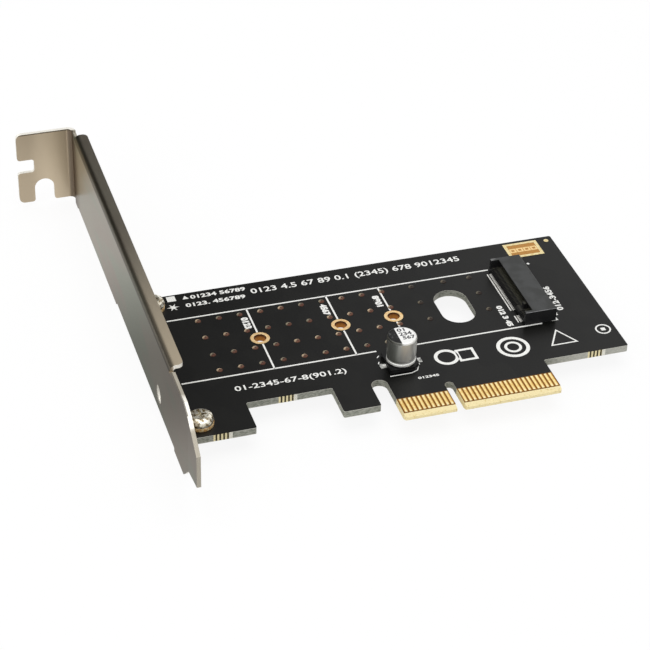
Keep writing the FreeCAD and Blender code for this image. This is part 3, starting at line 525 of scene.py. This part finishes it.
canLook = {
    # drawn side, with painted light: brightest towards one direction
    "side": tone(232, 232, 228), "dull": tone(122, 124, 118), "brightTurn": (0.62, -0.78),
    "lightEdge": (0.1, 0.95), "lightShare": 0.9, "drawnShare": 0.1,
    "drawn": (1.2, 3.0, (5.0, 5.0, 0.25)), "fine": (3.0, 3.0),
    # painted highlight on the bead at the foot, and painted shade in the groove above it and on the
    # rim beside the black sector
    "bead": tone(252, 252, 248), "beadHigh": 0.8, "beadEdge": (-0.6, 0.6),
    "beadRise": 0.35, "beadShare": 0.6, "beadDull": 0.5,
    "groove": tone(70, 70, 66), "grooveHigh": 0.25, "grooveShare": 0.6,
    "rimHigh": 0.45, "rimSoft": 0.3, "rimShare": 0.85,
    # printed top
    "white": tone(240, 240, 238), "black": tone(13, 13, 14), "chord": -0.9, "printRim": 2.85,
    "wearAndHighlight": tone(206, 206, 204), "wornCloud": (1.4, 3.0), "wornEdge": (0.55, 0.8),
    "wornShare": 0.2, "topUp": 0.6, "topDeep": 0.3, "topRough": 0.12,
    "drawnRaise": 0.5, "fineRaise": 0.4, "bump": (0.12, 0.012),
    "rough": 0.34, "drawnRough": 0.1, "metallic": 0.8, "specular": 0.3,
}


def makeCanPaint():
    look = canLook
    paint = Paint("canAluminium")
    across, up = paint.x - canMiddle.x, paint.y - canMiddle.y
    reach = paint.maths("SQRT", across * across + up * up)
    top = (paint.facing[2] > look["topUp"]) * (reach < look["printRim"])
    top = top * (paint.z > canHigh.z - look["topDeep"])
    drawn = paint.noise(*look["drawn"])
    # painted light on the side, brightest where it turns towards one direction
    turned = (across * look["brightTurn"][0] + up * look["brightTurn"][1]) / reach
    light = paint.ease(turned, *look["lightEdge"]) * look["lightShare"]
    side = paint.mix(look["dull"], look["side"], light + drawn * look["drawnShare"])
    height = paint.z - canLow.z
    # painted shade in the groove above the bead
    groove = paint.between(height, look["beadHigh"], look["beadHigh"] + look["grooveHigh"])
    side = paint.mix(side, look["groove"], groove * look["grooveShare"])
    # painted shade on the rim beside the black sector
    shaded = paint.ease(across, look["chord"] + look["rimSoft"], look["chord"] - look["rimSoft"])
    shaded = (paint.z > canHigh.z - look["rimHigh"]) * shaded
    side = paint.mix(side, look["groove"], shaded * look["rimShare"])
    # painted highlight on the bead, brightest towards the same direction as the side
    bead = paint.ease(turned, *look["beadEdge"]) * look["beadRise"] + look["beadShare"]
    bead = (height < look["beadHigh"]) * bead
    side = paint.mix(side, look["bead"], bead)
    # black sector beyond the chord, white elsewhere
    ink = paint.mix(look["white"], look["black"], across < look["chord"])
    wearAndHighlight = paint.ease(paint.noise(*look["wornCloud"]), *look["wornEdge"]) * look["wornShare"]
    ink = paint.mix(ink, look["wearAndHighlight"], wearAndHighlight)
    fine = paint.noise(*look["fine"])
    paint.bump(drawn * look["drawnRaise"] + fine * look["fineRaise"], *look["bump"])
    rough = look["rough"] + drawn * look["drawnRough"] + top * look["topRough"]
    metallic = (1 - top) * (look["metallic"] - bead * look["beadDull"])
    return paint.finish(paint.mix(side, ink, top), rough, metallic, look["specular"])


viaLook = {
    "warm": tone(204, 182, 152), "warmRim": tone(78, 34, 18),
    "olive": tone(136, 134, 116), "patch": (0.14, 1.0), "oliveEdge": (0.46, 0.55),
    "oliveShare": 0.85, "cool": tone(104, 98, 86), "coolRim": tone(14, 12, 10),
    "coolEdge": (-2.0, 5.0), "coolShare": 0.9,
    # painted light on the slopes turned back and to the left, and painted shade in the rim shades
    # elsewhere
    "turn": (-0.12, 0.3), "turnUp": 0.7, "turnAcross": 0.5, "topShare": 0.85,
    "glint": (2.6, 2.0), "glintShare": 0.15, "glintRough": 0.2, "bump": (0.25, 0.02),
    "rough": 0.4, "specular": 0.2,
}


# domes of mask and copper, warm to the left and darker to the right, with painted light on the
# slopes turned back and to the left and painted shade on the rest
def makeViaPaint():
    look = viaLook
    paint = Paint("viaDome")
    glint = paint.noise(*look["glint"])
    cool = paint.ease(paint.x, *look["coolEdge"]) * look["coolShare"]
    olive = paint.ease(paint.noise(*look["patch"]), *look["oliveEdge"]) * look["oliveShare"]
    top = paint.mix(paint.mix(look["warm"], look["olive"], olive), look["cool"], cool)
    rim = paint.mix(look["warmRim"], look["coolRim"], cool)
    # painted light: how far each face turns back and to the left, which takes it from the dark rim
    # shade to the top shade
    lean = paint.facing[1] * look["turnUp"] - paint.facing[0] * look["turnAcross"]
    share = paint.ease(lean, *look["turn"]) * look["topShare"] + glint * look["glintShare"]
    paint.bump(glint, *look["bump"])
    rough = look["rough"] + glint * look["glintRough"]
    return paint.finish(paint.mix(rim, top, share), rough, 0.0, look["specular"])


silkWhite = makePlainPaint("silkInk")
figureGrey = makePlainPaint("figureGrey")
labelGround = makePlainPaint("labelGround")
labelPale = makePlainPaint("labelBars")
basePlastic = makePlainPaint("basePlastic")
solderTin = makeMetalPaint("solderTin")
goldPlate = makeGoldPaint("goldPlate", "plate", True)
goldRim = makeGoldPaint("goldRim", "rim")
goldPale = makeGoldPaint("goldPale", "pale")
contactTin = makeContactPaint()
viaDome = makeViaPaint()

nodePaints = {
    "pcb": makeBoardPaint(),
    "edge_contacts_component_side": goldPlate,
    "edge_contacts_solder_side": goldPlate,
    "module_eyelet_30": goldRim,
    "module_eyelet_42": goldRim,
    "module_eyelet_60": goldRim,
    "module_eyelet_80": goldRim,
    "gold_label_frame": goldPale,
    "fiducial_pad": goldPale,
    "slot_bracket": makeSteelPaint(),
    "bracket_screws": makeMetalPaint("screwNickel"),
    "lock_washers": makeMetalPaint("washerYellow"),
    "m2_socket_housing": makeSocketPaint(),
    "m2_contacts_lower": contactTin,
    "m2_contacts_upper": contactTin,
    "capacitor_can": makeCanPaint(),
    "capacitor_base": basePlastic,
    "capacitor_lead_negative": solderTin,
    "capacitor_lead_positive": solderTin,
    "capacitor_lands": makeMetalPaint("landTin"),
}
for nodeName, nodePaint in nodePaints.items():
    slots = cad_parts[nodeName].data.materials
    slots.clear()
    slots.append(nodePaint)
print("finishes on", len(nodePaints), "nodes")


def newObject(name, data):
    made = bpy.data.objects.new(name, data)
    bpy.context.scene.collection.objects.link(made)
    return made


def keepPiece(name, data):
    piece = newObject(name, data)
    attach(piece, cardBody)


# an object with its modifiers or curves, as plain mesh
def flattened(thing):
    graph = bpy.context.evaluated_depsgraph_get()
    return bpy.data.meshes.new_from_object(thing.evaluated_get(graph))


def meshPiece(name, shape, paint):
    data = bpy.data.meshes.new(name)
    bmesh.ops.recalc_face_normals(shape, faces=shape.faces)
    shape.to_mesh(data)
    shape.free()
    data.materials.append(paint)
    keepPiece(name, data)


# closed plate through the given corners
def addPlate(shape, corners, low, high):
    under = [shape.verts.new(Vector((x, y, low)) * mm) for x, y in corners]
    over = [shape.verts.new(Vector((x, y, high)) * mm) for x, y in corners]
    shape.faces.new(over)
    shape.faces.new(under[::-1])
    for index in range(len(corners)):
        after = (index + 1) % len(corners)
        shape.faces.new((under[index], under[after], over[after], over[index]))


# band between two loops with as many points each
def addBand(shape, inner, outer, low, high):
    rings = []
    for loop, height in ((inner, low), (outer, low), (outer, high), (inner, high)):
        rings.append([shape.verts.new(Vector((x, y, height)) * mm) for x, y in loop])
    for side, first in enumerate(rings):
        second = rings[(side + 1) % len(rings)]
        for index in range(len(inner)):
            after = (index + 1) % len(inner)
            shape.faces.new((first[index], first[after], second[after], second[index]))


# printed line of even width along a route
def addStroke(shape, route, width, low, high):
    points = [Vector(point) for point in route]
    left, right = [], []
    for index, point in enumerate(points):
        before = (point - points[index - 1]).normalized() if index else None
        after = (points[index + 1] - point).normalized() if index < len(points) - 1 else before
        along = ((before or after) + after).normalized()
        side = Vector((-along.y, along.x))
        lean = side.dot(Vector((-after.y, after.x)))
        left.append(point + side * (width / 2 / lean))
        right.append(point - side * (width / 2 / lean))
    addPlate(shape, left + right[::-1], low, high)


def roundLoop(middle, radius, steps, start=0.0):
    angles = [math.radians(start + 360 * index / steps) for index in range(steps)]
    return [(middle[0] + radius * math.cos(angle), middle[1] + radius * math.sin(angle))
            for angle in angles]


silk = {
    "thick": 0.03, "line": 0.38, "fine": 0.24,
    # the two long lines, up from the module's middle, and the gap beside the capacitor
    "topLine": 11.18, "lowLine": -11.14, "topEnds": (-50.9, 22.8), "lowEnds": (-53.2, 26.8),
    "canGap": (-10.9, -4.0),
    # place and lower end of the line through each module stop
    "stops": ((-33.25, -11.14), (-15.25, -11.14), (-3.25, -4.0)), "stopRing": 2.2,
    # routes round the capacitor, from its middle
    "canRoutes": (((-3.6, -3.8), (1.2, -3.8), (2.6, -3.2), (3.3, -1.9)), ((3.7, -1.5), (3.5, 0.4)),
                  ((-4.2, 3.1), (-3.6, 3.7)), ((-4.6, 0.9), (-4.3, 1.6))),
    "corner": ((29.1, 22.86), (30.7, 22.87), (30.6, 24.1)),
    "dot": (32.45, 44.93), "dotWide": 0.66, "dotSteps": 16,
}
inkHigh = boardTop + silk["thick"]


def makeSilkscreen():
    shape = bmesh.new()

    def line(*route, width=silk["line"]):
        addStroke(shape, route, width, boardTop, inkHigh)

    top, low = moduleMiddle + silk["topLine"], moduleMiddle + silk["lowLine"]
    gapLeft, gapRight = silk["canGap"]
    line(*((x, top) for x in silk["topEnds"]))
    line((silk["lowEnds"][0], low), (gapLeft, low))
    line((gapRight, low), (silk["lowEnds"][1], low))
    for x, bottom in silk["stops"]:
        line((x, top), (x, moduleMiddle + silk["stopRing"]))
        line((x, moduleMiddle - silk["stopRing"]), (x, moduleMiddle + bottom))
    for route in silk["canRoutes"]:
        line(*(canMiddle + Vector(point) for point in route), width=silk["fine"])
    # corner mark and dot beside the socket
    addPlate(shape, silk["corner"], boardTop, inkHigh)
    dot = roundLoop(silk["dot"], silk["dotWide"] / 2, silk["dotSteps"])
    addPlate(shape, dot, boardTop, inkHigh)
    meshPiece("silkscreen_lines", shape, silkWhite)


marks = {
    # middle, reach, corners, turn and line of each open shape
    "bands": (
        ((2.7, 16.7), 2.3, 32, 0, 0.75), ((7.1, 16.5), 2.5, 4, 45, 0.85),
        ((17.6, 16.3), 3.2, 32, 0, 0.8), ((17.6, 16.3), 1.6, 32, 0, 0.6),
        ((28.7, 16.2), 3.3, 3, 90, 0.65), ((38.7, 17.15), 1.55, 32, 0, 0.35),
    ),
    # middle, reach, corners and turn of each filled shape
    "plates": (
        ((-48.0, 52.9), 1.35, 4, 45), ((-44.9, 52.5), 0.8, 3, 90), ((38.7, 17.15), 0.7, 4, 45),
    ),
    "star": (-48.3, 49.7), "starReach": 1.35, "starWaist": 0.45, "starTips": 6,
}


# plain shapes in the places of the printed marks
def makeMarks():
    shape = bmesh.new()
    for middle, reach, corners, turn, line in marks["bands"]:
        inner, outer = (roundLoop(middle, reach + half, corners, turn)
                        for half in (-line / 2, line / 2))
        addBand(shape, inner, outer, boardTop, inkHigh)
    for middle, reach, corners, turn in marks["plates"]:
        addPlate(shape, roundLoop(middle, reach, corners, turn), boardTop, inkHigh)
    count = marks["starTips"]
    tips = roundLoop(marks["star"], marks["starReach"], count)
    waist = roundLoop(marks["star"], marks["starWaist"], count, 180 / count)
    addPlate(shape, [corner for pair in zip(tips, waist) for corner in pair], boardTop, inkHigh)
    meshPiece("silkscreen_marks", shape, silkWhite)


lettering = {"bold": 0.03, "extrude": 0.5, "curveSteps": 3, "merge": 0.0005}


# plain figures, flattened to a mesh and fitted to a width and height
def addFigures(name, text, middle, size, turn=0, bold=lettering["bold"], height=boardTop,
               thick=silk["thick"], paint=silkWhite):
    letters = bpy.data.curves.new(name, "FONT")
    letters.body = text
    letters.offset = bold
    letters.extrude = lettering["extrude"]
    letters.resolution_u = lettering["curveSteps"]
    carrier = newObject(name + "_text", letters)
    data = flattened(carrier)
    bpy.data.objects.remove(carrier)
    corners = [[vertex.co[axis] for vertex in data.vertices] for axis in range(2)]
    wide, tall = (max(values) - min(values) for values in corners)
    centre = Vector([(max(values) + min(values)) / 2 for values in corners] + [0])
    fit = Matrix.Diagonal((size[0] / wide * mm, size[1] / tall * mm, thick * mm, 1))
    place = Matrix.Translation(Vector((*middle, height + thick / 2)) * mm)
    spin = Matrix.Rotation(math.radians(turn), 4, "Z")
    data.transform(place @ spin @ fit @ Matrix.Translation(-centre))
    shape = bmesh.new()
    shape.from_mesh(data)
    bmesh.ops.remove_doubles(shape, verts=shape.verts, dist=mm * lettering["merge"])
    bmesh.ops.recalc_face_normals(shape, faces=shape.faces)
    shape.to_mesh(data)
    shape.free()
    data.materials.clear()
    data.materials.append(paint)
    keepPiece(name, data)


figures = {
    # name, figures, middle, width and height, turn, and how bold
    "board": (
        ("title", "0123 4.5 67 89 0.1 (2345) 678 9012345", (-6.2, 50.85), (48.6, 2.4), 0, 0.012),
        ("corner_upper", "01234 56789", (-37.6, 52.5), (12.4, 1.4), 0, 0.03),
        ("corner_lower", "0123. 456789", (-38.8, 49.7), (13.4, 1.4), 0, 0.03),
        ("lower", "01-2345-67-8(901.2)", (-31.1, 17.85), (24.0, 2.15), 0, 0.012),
        ("stop_60", "0123", (-34.6, 39.9), (4.2, 1.6), -90, 0.06),
        ("stop_42", "4567", (-16.85, 40.1), (4.2, 1.6), -90, 0.06),
        ("stop_30", "8901", (-4.85, 40.1), (4.2, 1.6), -90, 0.06),
        ("tiny", "012345", (-3.2, 11.4), (4.6, 0.75), 0, 0.03),
        ("socket_front", "012 3 45", (20.0, 27.4), (7.8, 1.35), -90, 0.06),
        ("socket_back", "012-3456", (32.7, 30.8), (9.3, 1.5), 90, 0.04),
    ),
    # figures, shift from the can's middle, width and height
    "can": (
        ("01", (0.25, 1.8), (1.7, 1.1)), ("234", (0.8, 0.35), (2.7, 1.2)),
        ("567", (1.15, -1.05), (2.7, 1.15)),
    ),
    "canThick": 0.02,
}


def makeFigures():
    for name, text, middle, size, turn, bold in figures["board"]:
        addFigures("figures_" + name, text, middle, size, turn, bold)
    for text, shift, size in figures["can"]:
        addFigures("can_figures_" + text, text, canMiddle + Vector(shift), size, height=canHigh.z,
                   thick=figures["canThick"], paint=figureGrey)


label = {
    "band": 0.7, "ground": 0.02, "bars": 4, "barHigh": 0.045, "barReaches": (0.5, 1.1),
    "barCorners": 4, "barTurn": 45,
}


# field inside the gold frame, with a row of plain squares
def makeLabel():
    shape = bmesh.new()
    left, right = labelLow.x + label["band"], labelHigh.x - label["band"]
    low, high = labelLow.y + label["band"], labelHigh.y - label["band"]
    ground = boardTop + label["ground"]
    corners = [(left, low), (right, low), (right, high), (left, high)]
    addPlate(shape, corners, boardTop, ground)
    meshPiece("label_ground", shape, labelGround)
    bars = bmesh.new()
    for index in range(label["bars"]):
        middle = (left + (right - left) * (index + 0.5) / label["bars"], (low + high) / 2)
        inner, outer = (roundLoop(middle, reach, label["barCorners"], label["barTurn"])
                        for reach in label["barReaches"])
        addBand(bars, inner, outer, ground, boardTop + label["barHigh"])
    meshPiece("label_bars", bars, labelPale)


makeSilkscreen()
makeMarks()
makeFigures()
makeLabel()
print("printing done")


# a Geometry Nodes tree under construction, with named inputs
class Pattern(Tree):
    def __init__(self, name, sizes):
        super().__init__(bpy.data.node_groups.new(name, "GeometryNodeTree"))
        self.keys = {}
        sockets = self.tree.interface
        for side in ("INPUT", "OUTPUT"):
            sockets.new_socket("Geometry", in_out=side, socket_type="NodeSocketGeometry")
        for title, value in sizes.items():
            kind = "NodeSocketInt" if isinstance(value, int) else "NodeSocketFloat"
            made = sockets.new_socket(title, in_out="INPUT", socket_type=kind)
            self.keys[title] = made.identifier
        self.values = sizes
        self.start = self.tree.nodes.new("NodeGroupInput")
        self.end = self.tree.nodes.new("NodeGroupOutput")

    def size(self, title):
        return self.out(self.start, title)

    def vector(self, **parts):
        return self.out(self.node("ShaderNodeCombineXYZ", inputs=parts))

    def moved(self, geometry, **change):
        made = self.node("GeometryNodeTransform", inputs={"Geometry": geometry, **change})
        return self.out(made)

    def painted(self, geometry, paint):
        made = self.node("GeometryNodeSetMaterial", inputs={
            "Geometry": geometry, "Material": paint})
        return self.out(made)

    # the shape on every point, as plain mesh
    def placed(self, shape, points):
        spots = self.out(self.node("GeometryNodeInstanceOnPoints", inputs={
            "Points": points, "Instance": shape}))
        return self.out(self.node("GeometryNodeRealizeInstances", inputs={"Geometry": spots}))

    def close(self, geometry):
        self.join(geometry, self.end.inputs[0])


# runs a pattern on a carrier's points and keeps the plain mesh
def growPiece(name, pattern, points):
    data = bpy.data.meshes.new(name + "_points")
    data.from_pydata([Vector(point) * mm for point in points], [], [])
    carrier = newObject(name + "_points", data)
    modifier = carrier.modifiers.new("grow", "NODES")
    modifier.node_group = pattern.tree
    for title, value in pattern.values.items():
        modifier[pattern.keys[title]] = value
    grown = flattened(carrier)
    carrier.modifiers.remove(modifier)
    bpy.data.objects.remove(carrier)
    keepPiece(name, grown)


vias = {
    "reach": 0.66, "crown": 0.24, "steps": 16, "rings": 8, "pit": 0.15, "pitFlat": 0.4,
    "firstColumn": -44.4, "columnStep": 4.62, "columns": 10, "rows": (43.3, 37.1, 30.75, 25.2),
    # columns further right, with how many of the rows each has
    "farColumns": ((4.1, 3), (11.6, 1), (17.7, 3)),
}


# each plated hole: a low dome of mask and copper, with a small dark lump in its middle as painted
# shade for the hole
def makeVias():
    look = vias
    pattern = Pattern("platedHoles", {
        "Reach": look["reach"] * mm, "Crown": look["crown"] * mm, "Pit": look["pit"] * mm,
        "Steps": look["steps"], "Rings": look["rings"]})
    reach, crown = pattern.size("Reach"), pattern.size("Crown")
    dome, pit = (pattern.out(pattern.node("GeometryNodeMeshUVSphere", inputs={
        "Segments": pattern.size("Steps"), "Rings": pattern.size("Rings"), "Radius": radius}))
        for radius in (reach, pattern.size("Pit")))
    dome = pattern.moved(dome, Scale=pattern.vector(X=1.0, Y=1.0, Z=crown / reach))
    pit = pattern.moved(pit, Translation=pattern.vector(Z=crown), Scale=(1.0, 1.0, look["pitFlat"]))
    domes, pits = (pattern.painted(pattern.placed(shape, pattern.out(pattern.start)), paint)
                   for shape, paint in ((dome, viaDome), (pit, basePlastic)))
    both = pattern.node("GeometryNodeJoinGeometry", inputs={"Geometry": [domes, pits]})
    pattern.close(pattern.out(both))
    columns = [(look["firstColumn"] + look["columnStep"] * index, len(look["rows"]))
               for index in range(look["columns"])]
    columns.extend(look["farColumns"])
    points = [(x, y, boardTop) for x, count in columns for y in look["rows"][:count]]
    growPiece("plated_holes", pattern, points)


lands = {
    "pitch": 0.5, "wide": 0.44, "long": 0.27, "thick": 0.08,
    # lines of solder out from the socket's front and back, and the back row's shift
    "lines": (-0.98, -0.45), "backLines": (0.85, 1.1), "rowShift": 0.25,
    # how far up the first contact is, and how many come before, after and in the key's gap
    "firstUp": 9.25, "main": 29, "keyed": 5, "keyGap": 4,
}


# solder at the ends of the socket's contact tails, in two short lines along each row
def makeLands():
    look = lands
    front = [socketLow.x + part for part in look["lines"]]
    back = [socketHigh.x + part for part in look["backLines"]]
    sides = (("front", front, 0.0, look["keyed"]),
             ("back", back, -look["rowShift"], look["keyed"] - 1))
    for side, lines, shift, keyed in sides:
        first = moduleMiddle + look["firstUp"] + shift
        mainLow = first - look["pitch"] * (look["main"] - 1)
        keyLow = mainLow - look["pitch"] * (keyed + look["keyGap"])
        for group, low, count in (("main", mainLow, look["main"]), ("keyed", keyLow, keyed)):
            pattern = Pattern("solderLands", {
                "Count": count, "Pitch": look["pitch"] * mm, "Land wide": look["wide"] * mm,
                "Land long": look["long"] * mm, "Land thick": look["thick"] * mm})
            size = pattern.vector(X=pattern.size("Land long"), Y=pattern.size("Land wide"),
                                  Z=pattern.size("Land thick"))
            block = pattern.out(pattern.node("GeometryNodeMeshCube", inputs={"Size": size}))
            line = pattern.out(pattern.node("GeometryNodeMeshLine", inputs={
                "Count": pattern.size("Count"), "Offset": pattern.vector(Y=pattern.size("Pitch"))}))
            rows = pattern.placed(pattern.placed(block, line), pattern.out(pattern.start))
            pattern.close(pattern.painted(rows, solderTin))
            points = [(x, low, boardTop + look["thick"] / 2) for x in lines]
            growPiece(f"socket_lands_{side}_{group}", pattern, points)


makeVias()
makeLands()
print("plated holes and lands done")


# places and sizes are in metres from here on, and a flag's shades run in millimetres
stage = {
    "floorWide": 6.0, "floorWhite": 0.95, "floorRough": 0.9, "floorGlow": 0.9, "ambient": 0.6,
    # place, size and power of each lamp
    "overhead": ((0.0, 0.1, 0.9), (0.9, 0.9), 4.3),
    "left": ((-0.8, -0.5, 0.5), (0.5, 0.7), 2.1),
}

# corners of each flag, axis of its shading, and each step of that: from, to, change of level
flags = {
    "rear_flag": (
        ((-0.7, 0.6, 0), (0.5, 0.6, 0), (0.5, 0.6, 0.9), (-0.7, 0.6, 0.9)),
        0, ((-800, -700, 0.035), (80, 260, 0.865)),
    ),
    "floor_flag": (
        ((-0.16, -0.03, -0.0042), (-0.0585, -0.03, -0.0042),
         (-0.0585, 0.15, -0.0042), (-0.16, 0.15, -0.0042)),
        1, ((-60, -40, 0.42), (2, 26, -0.17), (38, 88, 0.43)),
    ),
}


def makeWorld():
    world = bpy.data.worlds.new("studio")
    bpy.context.scene.world = world
    world.use_nodes = True
    tree = Tree(world.node_tree)
    shader = tree.tree.nodes["Background"]
    shader.inputs["Color"].default_value = (1, 1, 1, 1)
    strength = tree.seenRay() * (1 - stage["ambient"]) + stage["ambient"]
    tree.join(strength, shader.inputs["Strength"])


def stagePlane(name, corners, paint):
    data = bpy.data.meshes.new(name)
    data.from_pydata(corners, [], [range(len(corners))])
    data.materials.append(paint.material)
    plane = newObject(name, data)
    return plane


# white where it is seen, with the object's shadow kept in a share of plain diffuse
def makeFloor():
    paint = Paint("floorWhite")
    paint.finish((stage["floorWhite"],) * 3, stage["floorRough"], 0.0, 0.0)
    glow = paint.node("ShaderNodeEmission", inputs={"Color": (1, 1, 1), "Strength": 1.0})
    both = paint.node("ShaderNodeMixShader", inputs={
        0: paint.seenRay() * stage["floorGlow"], 1: paint.out(paint.shader), 2: paint.out(glow)})
    paint.join(paint.out(both), paint.tree.nodes["Material Output"].inputs["Surface"])
    half, level = stage["floorWide"] / 2, cadBox[0].z
    corners = [(x * half, y * half, level) for x, y in ((-1, -1), (1, -1), (1, 1), (-1, 1))]
    stagePlane("floor", corners, paint)


# studio flag seen only in reflections, shaded along one axis
def makeFlag(name, corners, axis, shades):
    paint = Paint(name)
    paint.finish((0, 0, 0), 1.0, 0.0, 0.0)
    place, level = (paint.x, paint.y)[axis], 0.0
    for low, high, change in shades:
        level = paint.ease(place, low, high) * change + level
    grey = paint.node("ShaderNodeCombineColor", inputs={
        "Red": level, "Green": level, "Blue": level})
    paint.join(paint.out(grey), paint.shader.inputs["Emission Color"])
    paint.shader.inputs["Emission Strength"].default_value = 1.0
    flag = stagePlane(name, corners, paint)
    for kind in ("camera", "diffuse", "transmission", "shadow"):
        setattr(flag, "visible_" + kind, False)


def addLamp(name, place, size, power):
    lamp = bpy.data.lights.new(name, "AREA")
    lamp.shape = "RECTANGLE"
    lamp.size, lamp.size_y = size
    lamp.energy = power
    holder = newObject(name, lamp)
    holder.location = place
    aim = (cadBox[0] + cadBox[1]) / 2 - Vector(place)
    holder.rotation_euler = aim.to_track_quat("-Z", "Y").to_euler()


camera = {
    "place": (-0.132836, -0.314891, 0.264954), "azimuth": 18.386, "elevation": 34.05, "roll": 1.62,
    "lens": 116.78, "shift": (-0.0154, -0.0923), "clip": (0.01, 20),
}


def makeCamera():
    data = bpy.data.cameras.new("camera")
    holder = newObject("camera", data)
    azimuth, elevation = math.radians(camera["azimuth"]), math.radians(camera["elevation"])
    flat = math.cos(elevation)
    ahead = Vector((math.sin(azimuth) * flat, math.cos(azimuth) * flat, -math.sin(elevation)))
    level = ahead.to_track_quat("-Z", "Y").to_matrix().to_4x4()
    roll = Matrix.Rotation(math.radians(camera["roll"]), 4, "Z")
    holder.matrix_world = Matrix.Translation(camera["place"]) @ level @ roll
    data.lens = camera["lens"]
    data.shift_x, data.shift_y = camera["shift"]
    data.clip_start, data.clip_end = camera["clip"]
    bpy.context.scene.camera = holder


makeWorld()
makeFloor()
for flagName, flagParts in flags.items():
    makeFlag(flagName, *flagParts)
addLamp("overheadSoftbox", *stage["overhead"])
addLamp("leftSoftbox", *stage["left"])
makeCamera()
bpy.context.scene.view_settings.view_transform = "Standard"
print("studio done")
